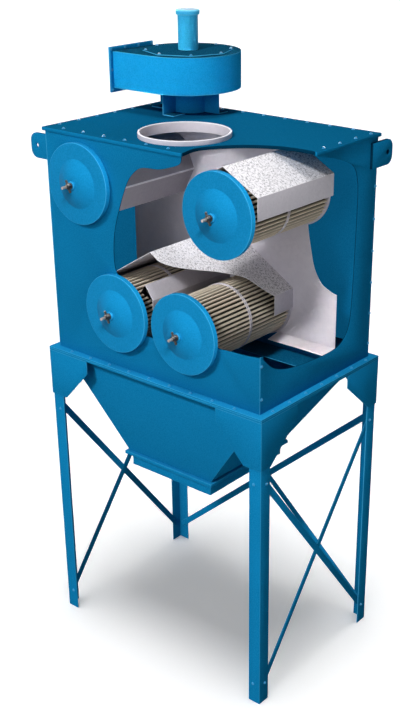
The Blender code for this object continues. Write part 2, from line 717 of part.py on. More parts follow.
def round_cartridge(spot, side, shares):
    """Points about a cartridge's axis, in shares of its radius, mirrored for the left side."""
    points = [(side * (spot[0] + CAP_R * a), spot[1] + CAP_R * b) for a, b in shares]
    return points if side < 0 else points[::-1]


def hoods():
    """Deflector hoods over the cartridges, seated on the front of the tube sheet."""
    rear = TUBE_SHEET_Y - GAP
    front = FRONT_FACE + HOOD_SETBACK
    line = [(1.0828, -0.0232), (1.0828, 0.5828), (-0.0283, 1.2040), (-0.8364, 0.7495),
            (-1.1798, -0.0485), (-0.8818, -0.5939), (-0.8566, -0.7606)]
    for name, side in (("left", -1), ("right", 1)):
        points = round_cartridge((UPPER_X, UPPER_Z), side, line)
        finish(folded_strip("hood", points, front, rear), f"upper_{name}_hood", LOOK_ZINC)
    half = LOWER_X + HOOD_REACH * CAP_R
    eave = LOWER_Z + HOOD_EAVE * CAP_R
    skirt = LOWER_Z + HOOD_SHEET / 3
    ridge = eave + half * HOOD_SLOPE
    big = [(-half, skirt), (-half, eave), (0, ridge), (half, eave), (half, skirt)]
    hood = folded_strip("hood", big, FRONT_FACE + 2 * SHEET, rear)
    finish(cut(hood, lower_hood_cut(half)), "lower_hood", LOOK_ZINC)
    small = [(CAP_R * a, LOWER_Z + CAP_R * b) for a, b in
             [(-0.429, 0.773), (-0.242, 1.030), (0.030, 0.636), (0.020, 0.379)]]
    front = FRONT_FACE + BAFFLE_SETBACK
    finish(folded_strip("baffle", small, front, rear), "inner_baffle", LOOK_ZINC)


def lower_hood_cut(half):
    """The front of the lower hood's right slope is cut back along a wavy line."""
    edge = smooth_line([(half * a, CABINET_HALF_Y * b) for a, b in [
        (0.0087, -1.1061), (0.0218, -1.0073), (0.1329, -0.9816), (0.2462, -0.8750),
        (0.3682, -0.6597), (0.4684, -0.4464), (0.5708, -0.2666), (0.6754, -0.1422),
        (0.8039, -0.0889), (0.9150, -0.0474), (0.9891, -0.0099), (1.0893, 0.0198)]], 4)
    corner = (edge[-1][0], edge[0][1])
    return outline("lower_hood_cut", [edge + [corner]], LOWER_Z - CAP_R, UPPER_Z)


# ---- cartridges, covers and the rods that hold them ------------------------
def revolve_along_y(name, profile, spot, steps=STEPS):
    """A turned piece on a cartridge's axis.  The profile holds (radius, y) points."""
    return turned(name, [(radius, -y) for radius, y in profile], (spot[0], 0, spot[1]), "Y", steps)


def cartridge(name, spot):
    """End caps on a perforated core, in one piece, and the filter medium between them."""
    bore = ROD_R + ROD_PLAY
    front, rear = CAGE_FRONT, CAGE_REAR
    inner = CORE_R - CORE_SHEET
    cage = [(bore, front), (CAP_R, front), (CAP_R, front + CAP_THICK), (CORE_R, front + CAP_THICK),
            (CORE_R, rear - CAP_THICK), (CAP_R, rear - CAP_THICK), (CAP_R, rear), (inner, rear),
            (inner, front + CAP_THICK), (bore, front + CAP_THICK)]
    finish(revolve_along_y("cage", cage, spot), f"filter_cage_{name}", LOOK_ZINC)
    low, high = front + CAP_THICK + GAP, rear - CAP_THICK - GAP
    medium = [(CORE_R + GAP, low), (MEDIA_R, low), (MEDIA_R, high), (CORE_R + GAP, high)]
    finish(revolve_along_y("medium", medium, spot), f"filter_medium_{name}", LOOK_PAPER)


def yoke_rod(name, spot):
    """Threaded rod on a cross bar that bears on the rear of the tube sheet."""
    x, z = spot
    back = TUBE_SHEET_Y + SHEET + GAP
    reach = PORT_R + YOKE_LAP
    bar = box("bar", (x - YOKE_WIDTH / 2, back, z - reach),
              (x + YOKE_WIDTH / 2, back + YOKE_THICK, z + reach))
    rod = round_bar("rod", ROD_R, (x, COVER_FACE - STUD_REACH, z), (x, back + YOKE_THICK, z))
    nut = round_bar("nut", 2 * ROD_R, (x, back - 2 * ROD_R, z), (x, back + YOKE_THICK / 2, z), 6)
    finish(join(bar, rod, nut), f"yoke_rod_{name}", LOOK_STEEL)


def cover(name, spot):
    """Pressed round door: a rolled rim, a flat ring, and a shallow dome with a bored boss."""
    face, back, sheet = COVER_FACE, COVER_BACK, COVER_SHEET
    bore = ROD_R + 2 * ROD_PLAY
    tip = face - DOME_HIGH
    dome = [(HUB_R + (DOME_R - HUB_R) * (1 - i / 5), face - DOME_HIGH * math.sin(math.pi * i / 10))
            for i in range(5, -1, -1)]
    inside = [(radius - sheet / 2, y + sheet) for radius, y in dome[::-1]]
    profile = [(bore, tip - BOSS_HIGH), (HUB_R, tip - BOSS_HIGH)] + dome + [
        (COVER_R, face), (COVER_R, back), (COVER_R - sheet, back),
        (COVER_R - sheet, face + sheet)] + inside + [(bore, tip + sheet)]
    finish(revolve_along_y("cover", profile, spot), f"cover_{name}", LOOK_PAINT)


def cover_gasket(name, spot):
    """Rubber ring inside the cover's rim, bearing on the front panel round the opening."""
    outer = COVER_R - COVER_SHEET - GAP
    inner = ACCESS_R + GASKET_PLAY
    low, high = COVER_FACE + COVER_SHEET + GAP, COVER_BACK
    ring = [(inner, low), (outer, low), (outer, high), (inner, high)]
    finish(revolve_along_y("gasket", ring, spot), f"cover_gasket_{name}", LOOK_RUBBER)


def knob(name, spot):
    """Cast two-armed hand knob that runs on the threaded rod."""
    x, z = spot
    start = COVER_FACE - DOME_HIGH - BOSS_HIGH - GAP
    end = start - KNOB_HUB
    bore = ROD_R + ROD_PLAY
    seat = start - KNOB_WASHER
    washer = KNOB_HUB_R + KNOB_WASHER_LIP
    profile = [(bore, end), (KNOB_HUB_R * 0.7, end), (KNOB_HUB_R, end + KNOB_HUB / 4),
               (KNOB_HUB_R, seat), (washer, seat), (washer, start), (bore, start)]
    hub = revolve_along_y("hub", profile, spot, SMALL_STEPS)
    middle = Vector((x, start - KNOB_HUB * 0.47, z))
    lean = math.radians(KNOB_LEAN)
    arm = Vector((-math.sin(lean), 0, math.cos(lean)))
    for way in (-1, 1):
        root = middle + way * arm * (bore + KNOB_HUB_R) / 2
        tip = middle + way * arm * KNOB_SPAN / 2
        join(hub, round_bar("arm", KNOB_ARM_R, root, tip, 12))
    finish(hub, f"cover_knob_{name}", LOOK_CAST)


def filters():
    for name, spot in STATIONS.items():
        cartridge(name, spot)
        yoke_rod(name, spot)
        cover(name, spot)
        cover_gasket(name, spot)
        knob(name, spot)


# ---- inlet and fan ---------------------------------------------------------
def inlet_collar():
    """Inlet ring on the roof, its spigot through the roof's opening."""
    seat = CABINET_TOP + GAP
    inner = INLET_R - INLET_WALL
    spigot = INLET_R - INLET_WALL / 2 - GAP
    profile = [(inner, seat + INLET_HIGH), (INLET_R, seat + INLET_HIGH), (INLET_R, seat),
               (spigot, seat), (spigot, seat - INLET_SPIGOT), (inner, seat - INLET_SPIGOT)]
    finish(turned("collar", profile, (0, INLET_Y, 0)), "inlet_collar", LOOK_ZINC)


def fan_stand():
    """Round neck between the roof and the fan, with four angle brackets on the axes."""
    low, high = CABINET_TOP + GAP, CABINET_TOP + GAP + NECK_HIGH
    profile = [(NECK_R - SHEET, high), (NECK_R, high), (NECK_R, low), (NECK_R - SHEET, low)]
    neck = turned("neck", profile, (FAN_X, FAN_Y, 0))
    for quarter in range(4):
        turn = Matrix.Translation((FAN_X, FAN_Y, 0)) @ Matrix.Rotation(quarter * math.pi / 2, 4, "Z")
        web = box("web", (NECK_R - SHEET / 2, -PLATE / 2, low + WELD),
                  (BRACKET_REACH, PLATE / 2, high - WELD))
        foot = box("foot", (NECK_R + PLATE, 0, low), (BRACKET_REACH - WELD, BRACKET_FOOT, low + PLATE))
        for piece in (web, foot):
            piece.data.transform(turn)
        join(neck, web, foot)
    finish(neck, "fan_stand", LOOK_PAINT)


def scroll_outline(inset, duct_end):
    """Plan of the fan casing: a drum with a straight duct off its front side."""
    radius = DRUM_R - inset
    low = FAN_Y - radius
    high = FAN_Y - DRUM_R + DUCT_WIDTH - inset
    meet = math.pi - math.asin((high - FAN_Y) / radius)
    drum = circle((FAN_X, FAN_Y), radius, STEPS * 3 // 4, -math.pi / 2, meet + math.pi / 2)
    return drum + [(duct_end, high), (duct_end, low)]


def fan_housing():
    """Sheet scroll with an intake below, a service opening above and an outlet at the left."""
    duct_end = FAN_X - DUCT_REACH + FLANGE_THICK / 2
    casing = outline("casing", [scroll_outline(0, duct_end)], DRUM_Z, DRUM_TOP)
    hollow = outline("hollow", [scroll_outline(SHEET, duct_end - 1)], DRUM_Z + SHEET,
                     DRUM_TOP - SHEET)
    eye = round_bar("eye", NECK_R - SHEET, (FAN_X, FAN_Y, DRUM_Z - 1),
                    (FAN_X, FAN_Y, DRUM_Z + 2 * SHEET), STEPS)
    service = round_bar("service", SERVICE_R, (FAN_X, FAN_Y, DRUM_TOP - 2 * SHEET),
                        (FAN_X, FAN_Y, DRUM_TOP + 1), STEPS)
    finish(cut(casing, hollow, eye, service), "fan_housing", LOOK_PAINT)


def fan_outlet_flange():
    """Square flange round the end of the duct."""
    face = FAN_X - DUCT_REACH
    low, high = FAN_Y - DRUM_R, FAN_Y - DRUM_R + DUCT_WIDTH

    def frame(grow):
        return [(low - grow, DRUM_Z - grow), (high + grow, DRUM_Z - grow),
                (high + grow, DRUM_TOP + grow), (low - grow, DRUM_TOP + grow)]

    loops = [frame(FLANGE_LIP), frame(GAP)]
    finish(sideways("flange", loops, face, face + FLANGE_THICK), "fan_outlet_flange", LOOK_PAINT)


def fan_cover_plate():
    """Octagonal plate over the service opening, which carries the motor."""
    centre = (FAN_X, FAN_Y)
    outer = circle(centre, SERVICE_R + PLATE_LAP, 8)
    loops = [outer, circle(centre, 2 * SHAFT_R, SMALL_STEPS)]
    plate = outline("plate", loops, DRUM_TOP + GAP, DRUM_PLATE_TOP)
    finish(plate, "fan_cover_plate", LOOK_PAINT)


def motor():
    """Upright motor housing with a domed cap, its shaft, and the fan wheel below."""
    low = DRUM_PLATE_TOP + GAP
    neck_top = low + MOTOR_HIGH
    top = neck_top + MOTOR_CAP_HIGH
    floor = low + MOTOR_FLOOR
    bore = SHAFT_R + SHAFT_PLAY
    inner = MOTOR_R - MOTOR_WALL
    cap = MOTOR_R + MOTOR_CAP_LIP
    bevel = MOTOR_CAP_HIGH / 4
    profile = [(MOTOR_CAP_HOLE, top), (cap - bevel, top), (cap, top - bevel), (cap, neck_top),
               (MOTOR_R, neck_top), (MOTOR_R, low), (bore, low), (bore, floor), (inner, floor),
               (inner, neck_top), (MOTOR_CAP_HOLE, neck_top)]
    finish(turned("housing", profile, (FAN_X, FAN_Y, 0)), "motor_housing", LOOK_PAINT)

    hub_low = DRUM_Z + DRUM_HIGH / 3
    play = MOTOR_WALL + SHEET
    shaft = round_bar("shaft", SHAFT_R, (FAN_X, FAN_Y, hub_low), (FAN_X, FAN_Y, neck_top - play))
    rotor = round_bar("rotor", inner * 0.8, (FAN_X, FAN_Y, floor + play),
                      (FAN_X, FAN_Y, neck_top - 3 * play), SMALL_STEPS)
    finish(join(shaft, rotor), "motor_shaft", LOOK_STEEL)
    fan_wheel(hub_low)


def fan_wheel(hub_low):
    """Backward-curved wheel: back disc at the top, blades, and an intake ring below."""
    high = DRUM_TOP - SHEET - WHEEL_PLAY
    low = DRUM_Z + SHEET + 2 * WHEEL_PLAY
    under = high - WHEEL_DISC
    bore = SHAFT_R + GAP
    centre = (FAN_X, FAN_Y, 0)
    hub = SHAFT_R + WHEEL_HUB
    profile = [(bore, high), (WHEEL_R, high), (WHEEL_R, under), (hub, under), (hub, hub_low),
               (bore, hub_low)]
    wheel = turned("wheel", profile, centre)
    over = low + WHEEL_DISC
    ring = turned("ring", [(NECK_R, over), (WHEEL_R, over), (WHEEL_R, low), (NECK_R, low)], centre)
    pitch = (WHEEL_R - NECK_R - 2 * BLADE_THICK) / 4
    blades = []
    for number in range(BLADES):
        spin = Matrix.Rotation(2 * math.pi * number / BLADES, 2)
        line = [Vector((NECK_R + BLADE_THICK + step * pitch, BLADE_SWEEP * step ** 1.4))
                for step in range(5)]
        arc = [tuple(spin @ point) for point in line]
        points = shifted(arc, BLADE_THICK / 2) + shifted(arc, -BLADE_THICK / 2)[::-1]
        points = [(FAN_X + a, FAN_Y + b) for a, b in points]
        blades.append(outline("blade", [points], over - WHEEL_DISC / 2, under + WHEEL_DISC / 2))
    finish(join(wheel, ring, *blades), "fan_wheel", LOOK_STEEL)


def shade_round_pieces():
    """Round sides shade smooth, folds and rims stay crisp."""
    for item in machine.objects:
        if item.type == "MESH" and not item.modifiers:
            item.data.shade_smooth()
            item.data.set_sharp_from_angle(angle=math.radians(30))


legs()
gussets()
braces()
stand_rings()
hopper()
front_panel()
back_panel()
left_panel()
right_panel()
top_panel()
plenum_floor()
tube_sheet()
hoods()
filters()
inlet_collar()
fan_stand()
fan_housing()
fan_outlet_flange()
fan_cover_plate()
motor()
shade_round_pieces()
for piece in list(machine.objects) + list(cutters.objects):
    if piece is not base:
        piece.parent = base
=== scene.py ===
import json
import math

import bmesh
import bpy
from mathutils import Matrix, Vector


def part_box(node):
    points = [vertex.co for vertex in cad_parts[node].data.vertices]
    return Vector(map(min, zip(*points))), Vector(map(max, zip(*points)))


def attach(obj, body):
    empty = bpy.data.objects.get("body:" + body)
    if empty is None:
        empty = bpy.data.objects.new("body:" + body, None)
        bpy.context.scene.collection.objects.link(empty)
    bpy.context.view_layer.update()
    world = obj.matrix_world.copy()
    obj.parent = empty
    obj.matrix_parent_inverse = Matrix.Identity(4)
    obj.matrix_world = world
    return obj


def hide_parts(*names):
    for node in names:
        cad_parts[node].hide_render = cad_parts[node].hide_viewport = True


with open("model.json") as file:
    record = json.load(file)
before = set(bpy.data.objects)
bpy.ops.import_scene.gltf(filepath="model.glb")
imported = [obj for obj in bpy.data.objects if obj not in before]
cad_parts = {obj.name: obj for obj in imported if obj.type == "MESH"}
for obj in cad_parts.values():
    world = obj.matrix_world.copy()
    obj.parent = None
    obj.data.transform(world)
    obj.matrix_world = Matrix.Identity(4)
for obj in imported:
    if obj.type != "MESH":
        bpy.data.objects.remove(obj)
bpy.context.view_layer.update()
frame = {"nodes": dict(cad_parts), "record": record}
bodyOf = {}
for body, nodes in frame["record"]["behaviour"]["bodies"].items():
    for node in nodes:
        bodyOf[node] = body
stations = ("upper_left", "upper_right", "lower_left", "lower_right")
scene = bpy.context.scene
print("frame loaded:", len(bodyOf), "nodes")


def low(node, axis):
    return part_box(node)[0]["xyz".index(axis)]


def high(node, axis):
    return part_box(node)[1]["xyz".index(axis)]


def middle(node):
    lowest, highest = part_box(node)
    return (Vector(lowest) + Vector(highest)) / 2


def halfWidth(node):
    return (high(node, "x") - low(node, "x")) / 2


# node trees: one class makes any node, one wraps a socket so that maths reads as maths
class Wire:
    def __init__(self, sheet, socket):
        self.sheet = sheet
        self.socket = socket

    def __add__(self, other):
        return self.sheet.maths("ADD", self, other)

    def __sub__(self, other):
        return self.sheet.maths("SUBTRACT", self, other)

    def __rsub__(self, other):
        return self.sheet.maths("SUBTRACT", other, self)

    def __mul__(self, other):
        return self.sheet.maths("MULTIPLY", self, other)

    __radd__ = __add__
    __rmul__ = __mul__

    def out(self, key):
        # another output of the same node
        return Wire(self.sheet, self.socket.node.outputs[key])

    def ramp(self, start, end):
        # 0 below start, 1 above end, smooth between
        settings = {"interpolation_type": "SMOOTHSTEP"}
        inputs = {"Value": self, "From Min": start, "From Max": end}
        return self.sheet.node("ShaderNodeMapRange", settings, inputs)


class Sheet:
    def __init__(self, tree):
        self.tree = tree

    def node(self, kind, settings=None, inputs=None, output=0):
        made = self.tree.nodes.new(kind)
        for key, value in (settings or {}).items():
            setattr(made, key, value)
        for key, value in (inputs or {}).items():
            self.feed(made.inputs[key], value)
        return Wire(self, made.outputs[output])

    def feed(self, socket, value):
        wires = value if isinstance(value, list) else [value]
        for wire in wires:
            if isinstance(wire, Wire):
                self.tree.links.new(wire.socket, socket)
            else:
                socket.default_value = wire

    def maths(self, operation, *values):
        inputs = {place: value for place, value in enumerate(values)}
        return self.node("ShaderNodeMath", {"operation": operation}, inputs)

    def mix(self, factor, first, second):
        inputs = {0: factor, 6: first, 7: second}
        return self.node("ShaderNodeMix", {"data_type": "RGBA"}, inputs, 2)


def tint(red, green, blue):
    # a screen colour, 0 to 255, as scene linear values
    return tuple((v / 255 / 12.92 if v < 10.3 else ((v / 255 + 0.055) / 1.055) ** 2.4)
                 for v in (red, green, blue)) + (1.0,)


class Finish(Sheet):
    # a material with its Principled shader, and the object's own coordinates
    def __init__(self, name, **sockets):
        self.material = bpy.data.materials.new(name)
        self.material.use_nodes = True
        super().__init__(self.material.node_tree)
        self.shader = self.tree.nodes["Principled BSDF"]
        for key, value in sockets.items():
            self.shader.inputs[key.replace("_", " ")].default_value = value
        self.place = self.node("ShaderNodeTexCoord", output=3)

    def set(self, socket, value):
        self.feed(self.shader.inputs[socket], value)

    def noise(self, scale, detail=2.0, roughness=0.5, place=None):
        inputs = {"Vector": place or self.place, "Scale": scale, "Detail": detail,
                  "Roughness": roughness}
        return self.node("ShaderNodeTexNoise", None, inputs)

    def stretched(self, x, y, z):
        settings = {"operation": "MULTIPLY"}
        return self.node("ShaderNodeVectorMath", settings, {0: self.place, 1: (x, y, z)})

    def part(self, vector, axis):
        return self.node("ShaderNodeSeparateXYZ", None, {0: vector}, "xyz".index(axis))

    def mark(self, name):
        # a number kept on the mesh: edge and cut come from markEdges and markCut
        return self.node("ShaderNodeAttribute", {"attribute_name": name}, output=2)

    def bump(self, height, distance, strength=1.0):
        inputs = {"Height": height, "Distance": distance, "Strength": strength}
        self.set("Normal", self.node("ShaderNodeBump", None, inputs))


# paint: a shade for each group of pieces, a painted top tone for its upward faces, a tone for its
# grain and its edges (a painted highlight on the edges), and its gloss
paint = {
    # the second colour is painted shade on faces that look up, and painted light for the ledge
    # group
    "cabinet": (tint(14, 129, 184), tint(8, 88, 126), tint(60, 164, 210), 0.0),
    "ledge": (tint(14, 129, 184), tint(22, 134, 188), tint(60, 164, 210), 0.0),
    "roof": (tint(14, 127, 181), tint(8, 88, 125), tint(34, 132, 184), 0.0),
    # the cover, fan and motor shades are the cabinet's blue made lighter, which is painted light;
    # their top tones are painted shade
    "cover": (tint(18, 140, 198), tint(18, 130, 184), tint(62, 172, 226), 0.02),
    "fan": (tint(22, 162, 228), tint(6, 62, 88), tint(80, 186, 230), 0.0),
    "motor": (tint(52, 188, 242), tint(8, 86, 122), tint(120, 215, 250), 0.05),
    # painted shade on the sheet's thickness along the cut edges
    "cut": tint(4, 52, 78),
    "roughness": 0.34,
    "grainSize": 150.0,
    "peelDepth": 0.0004,
}


def bluePaint(group):
    shade, paintedTopTone, rubAndHighlight, gloss = paint[group]
    look = Finish(group + "Paint", Specular_IOR_Level=gloss)
    cloud = look.noise(2.6, 3.0, 0.5)
    grain = look.noise(paint["grainSize"], 3.0, 0.6)
    upward = look.part(look.node("ShaderNodeNewGeometry", output=1), "z").ramp(0.6, 0.95)
    # painted shade on faces that look up (painted light for the ledges)
    colour = look.mix(upward, shade, paintedTopTone)
    colour = look.mix(cloud.ramp(0.3, 0.75) * 0.12, colour, paintedTopTone)
    colour = look.mix(grain.ramp(0.44, 0.74) * 0.16, colour, rubAndHighlight)
    colour = look.mix(grain.ramp(0.56, 0.26) * 0.22, colour, tint(6, 84, 124))
    # painted highlight along the broken edges
    colour = look.mix(look.mark("edge") * 0.75, colour, rubAndHighlight)
    # painted shade along the cut edges
    colour = look.mix(look.mark("cut"), colour, paint["cut"])
    look.set("Base Color", colour)
    look.set("Roughness", paint["roughness"] + grain * 0.12 + upward * 0.1)
    look.bump(grain, paint["peelDepth"], 0.35)
    return look.material


# bare and coated metal
zinc = {
    "colour": tint(214, 210, 219),
    "dark": tint(194, 190, 200),
    "light": tint(228, 224, 232),
    "speckAndHighlight": tint(248, 246, 250),
    "speckDark": tint(164, 161, 167),
    "speckSize": 100.0,
    "paintedShade": tint(128, 122, 128),
    "bendDrop": 0.248,
}


def galvanised(name, speckle, paintedShade=0.0, bend=None):
    # plain grey with a faint spangle, bright speckle on faces that look up, and pale edges, which
    # are a painted highlight
    look = Finish(name, Metallic=0.0)
    facing = look.part(look.node("ShaderNodeNewGeometry", output=1), "z")
    upward = facing.ramp(0.25, 0.45) * speckle
    cells = look.node("ShaderNodeTexVoronoi", None, {"Vector": look.place, "Scale": 70.0}, 1)
    spangle = look.part(cells, "x")
    fine = look.noise(zinc["speckSize"], 3.0, 0.75)
    plain = look.mix(spangle * 0.30, zinc["colour"], zinc["dark"])
    plain = look.mix(fine.ramp(0.4, 0.7) * 0.25, plain, zinc["light"])
    # painted shade: the grey is darkened by the given amount
    plain = look.mix(paintedShade, plain, zinc["paintedShade"])
    speckled = look.mix(fine.ramp(0.34, 0.56), zinc["speckDark"], zinc["speckAndHighlight"])
    colour = look.mix(upward, plain, speckled)
    if bend:
        # painted highlight: the line of a bend on the right side is painted bright
        x, z = bend
        away = look.maths("ABSOLUTE", look.part(look.place, "z") - z, 0.0)
        line = away.ramp(0.007, 0.004) * (look.part(look.place, "x") - x).ramp(0.0, 0.01)
        colour = look.mix(line, colour, zinc["speckAndHighlight"])
    # painted highlight along the edges
    look.set("Base Color", look.mix(look.mark("edge") * 0.8, colour, zinc["speckAndHighlight"]))
    look.set("Metallic", 0.15 - upward * 0.15)
    look.set("Roughness", 0.42 + spangle * 0.12 + upward * 0.2)
    look.bump(fine + spangle * 0.3, 0.00015, 0.4)
    return look.material


def paleSheet():
    look = Finish("paleZincSheet", Metallic=0.0)
    cells = look.node("ShaderNodeTexVoronoi", None, {"Vector": look.place, "Scale": 45.0}, 1)
    spangle = look.part(cells, "y")
    smear = look.noise(2.4, 5.0, 0.6)
    colour = look.mix(spangle * 0.25, tint(222, 217, 226), tint(202, 197, 208))
    colour = look.mix(smear.ramp(0.4, 0.8) * 0.4, colour, tint(200, 194, 207))
    # painted highlight along the edges
    look.set("Base Color", look.mix(look.mark("edge"), colour, tint(248, 246, 250)))
    look.set("Roughness", 0.40 + spangle * 0.14)
    dents = look.noise(26.0, 4.0, 0.55)
    look.bump(dents, 0.006, 0.5)
    return look.material


def brightSteel():
    look = Finish("brightSteel", Metallic=0.7)
    scratch = look.noise(900.0, 2.0, 0.6, look.stretched(1.0, 0.04, 1.0))
    look.set("Base Color", look.mix(scratch, tint(172, 158, 147), tint(222, 208, 196)))
    look.set("Roughness", 0.34 + scratch * 0.2)
    look.bump(scratch, 0.00003, 0.5)
    return look.material


def darkCasting():
    # dark paint, worn to bright metal in patches; the patches gather on faces that look up, which
    # is a painted highlight
    look = Finish("darkCasting", Metallic=0.0)
    skin = look.noise(340.0, 4.0, 0.7)
    upward = look.part(look.node("ShaderNodeNewGeometry", output=1), "z").ramp(0.3, 0.9)
    wearAndHighlight = look.noise(90.0, 3.0, 0.6).ramp(0.38, 0.62) * (upward * 0.72 + 0.05)
    look.set("Base Color", look.mix(wearAndHighlight, tint(18, 17, 17), tint(206, 196, 186)))
    look.set("Roughness", 0.30 + skin * 0.2)
    look.bump(skin, 0.0002, 0.5)
    return look.material


def blackRubber():
    look = Finish("blackRubber", Metallic=0.0)
    skin = look.noise(500.0, 3.0, 0.6)
    look.set("Base Color", look.mix(skin, tint(24, 24, 25), tint(42, 42, 43)))
    look.set("Roughness", 0.72 + skin * 0.16)
    look.bump(skin, 0.0001, 0.5)
    return look.material


felt = {
    "crest": tint(244, 231, 210),
    # painted shade: near black in the bottoms and walls of the pleats
    "fold": tint(20, 18, 16),
    "dust": tint(190, 172, 150),
}


def pleatedFelt():
    # the attribute fold is 0 in the bottom of a pleat and 1 on its crest
    look = Finish("pleatedFelt", Metallic=0.0)
    depth = look.mark("fold")
    fibre = look.noise(700.0, 3.0, 0.7, look.stretched(1.0, 0.15, 1.0))
    soil = look.noise(16.0, 4.0, 0.6)
    # painted shade darkens all but the crests
    colour = look.mix(depth.ramp(0.55, 0.97), felt["fold"], felt["crest"])
    colour = look.mix(soil.ramp(0.45, 0.75) * 0.25, colour, felt["dust"])
    look.set("Base Color", look.mix(fibre * 0.22, colour, tint(228, 216, 194)))
    look.set("Roughness", 0.84 + fibre * 0.1)
    look.bump(fibre, 0.0002, 0.6)
    return look.material


def boltPaint():
    # bolts are painted with the sheets; their blue is lighter than the sheets', a painted
    # highlight, and rubbed brighter in patches
    look = Finish("boltPaint", Roughness=0.32, Specular_IOR_Level=0.2)
    rub = look.noise(240.0, 2.0, 0.6)
    look.set("Base Color", look.mix(rub, tint(30, 136, 190), tint(68, 164, 210)))
    look.bump(rub, 0.0001, 0.4)
    return look.material


looks = {
    "blue_paint": bluePaint("cabinet"),
    "galvanised_sheet": galvanised("speckledZinc", 1.0),
    "bright_steel": brightSteel(),
    "filter_medium": pleatedFelt(),
    "black_rubber": blackRubber(),
    "dark_casting": darkCasting(),
}
paleZinc = paleSheet()
plainZinc = galvanised("plainZinc", 0.0)
leftBend = (middle("upper_left_hood").x, high("upper_left_hood", "z") - zinc["bendDrop"])
# the upper left hood's zinc, darkened as painted shade, with a painted highlight along its bend
dullZinc = galvanised("dullZinc", 0.0, 0.62, leftBend)
ledgePaint = bluePaint("ledge")
roofPaint = bluePaint("roof")
coverPaint = bluePaint("cover")
fanPaint = bluePaint("fan")
motorPaint = bluePaint("motor")
boltLook = boltPaint()
print("finishes made:", len(bpy.data.materials))


# meshes
def newObject(name, mesh):
    item = bpy.data.objects.new(name, mesh)
    scene.collection.objects.link(item)
    return item


def fromShape(name, shape):
    mesh = bpy.data.meshes.new(name)
    shape.to_mesh(mesh)
    shape.free()
    return newObject(name, mesh)


def settled(item):
    # the object with its modifiers worked in, as a plain mesh
    graph = bpy.context.evaluated_depsgraph_get()
    mesh = bpy.data.meshes.new_from_object(item.evaluated_get(graph))
    item.modifiers.clear()
    item.data = mesh
    return item


def shadeByAngle(item, degrees=32):
    item.data.shade_smooth()
    item.data.set_sharp_from_angle(angle=math.radians(degrees))


def keepMarks(item, name, marks):
    layer = item.data.attributes.new(name, "FLOAT", "FACE")
    layer.data.foreach_set("value", marks)


def markEdges(item, widest=0.0045, sharpest=6):
    # narrow faces between convex folds are the edges of a sheet or a rim, where the paint gets a
    # painted highlight
    shape = bmesh.new()
    shape.from_mesh(item.data)
    shape.faces.ensure_lookup_table()
    marks = []
    for face in shape.faces:
        folds = [edge for edge in face.edges if edge.is_manifold and edge.is_convex
                 and edge.calc_face_angle() > math.radians(sharpest)]
        longest = max(edge.calc_length() for edge in face.edges)
        narrow = face.calc_area() < longest * widest
        long = [edge for edge in folds if edge.calc_length() > longest * 0.5]
        marks.append(1.0 if narrow and len(long) >= 2 else 0.0)
    shape.free()
    keepMarks(item, "edge", marks)


def markCut(item, axis, margin=0.02):
    # the sheet's thickness along a cut-away, on a panel that is flat across the axis; the paint
    # puts painted shade there
    across = "xyz".index(axis)
    plane = [place for place in range(3) if place != across]
    corners = [Vector(corner) for corner in item.bound_box]
    lowest = [min(corner[k] for corner in corners) + margin for k in range(3)]
    highest = [max(corner[k] for corner in corners) - margin for k in range(3)]
    marks = []
    for face in item.data.polygons:
        inside = all(lowest[k] < face.center[k] < highest[k] for k in plane)
        marks.append(1.0 if inside and abs(face.normal[across]) < 0.95 else 0.0)
    keepMarks(item, "cut", marks)


def ready(item, body, slot, material=None, stands=(), rubAndHighlight=True):
    # finish of a piece, taken from its record slot when none is given, its body, and the CAD nodes
    # that it stands for, which are hidden
    if len(item.data.materials) == 0:
        item.data.materials.append(material or looks[slot])
    if rubAndHighlight:
        markEdges(item)
    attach(item, body)
    if stands:
        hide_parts(*stands)
    return item


def softened(node, width=0.0014, material=None):
    # a copy of a CAD node with its edges broken, as folded and cut sheet has
    shape = bmesh.new()
    shape.from_mesh(frame["nodes"][node].data)
    bmesh.ops.remove_doubles(shape, verts=shape.verts, dist=0.00005)
    bmesh.ops.dissolve_limit(shape, angle_limit=math.radians(0.5), verts=shape.verts,
                             edges=shape.edges)
    item = fromShape(node + "_skin", shape)
    item.data.materials.clear()
    bevel = item.modifiers.new("broken edges", "BEVEL")
    bevel.width = width
    bevel.segments = 2
    bevel.limit_method = "ANGLE"
    bevel.angle_limit = math.radians(32)
    bevel.use_clamp_overlap = True
    bevel.harden_normals = False
    settled(item)
    shadeByAngle(item, 40)
    return ready(item, bodyOf[node], slotOf(node), material, [node])


def slotOf(node):
    for entry in frame["record"]["subparts"]:
        if entry["node"] == node:
            return entry["material_slot"]


def lathe(name, profile, centre, axis, segments=96):
    # a closed profile of (radius, height) points spun about an axis through the centre
    shape = bmesh.new()
    rings = []
    for radius, height in profile:
        ring = []
        for step in range(segments):
            angle = 2 * math.pi * step / segments
            around = (radius * math.cos(angle), radius * math.sin(angle))
            if axis == "z":
                spot = (around[0], around[1], height)
            else:
                spot = (around[0], height, around[1])
            ring.append(shape.verts.new(Vector(spot) + Vector(centre)))
        rings.append(ring)
    for first, second in zip(rings, rings[1:] + rings[:1]):
        for step in range(segments):
            after = (step + 1) % segments
            shape.faces.new((first[step], first[after], second[after], second[step]))
    bmesh.ops.recalc_face_normals(shape, faces=shape.faces)
    return fromShape(name, shape)


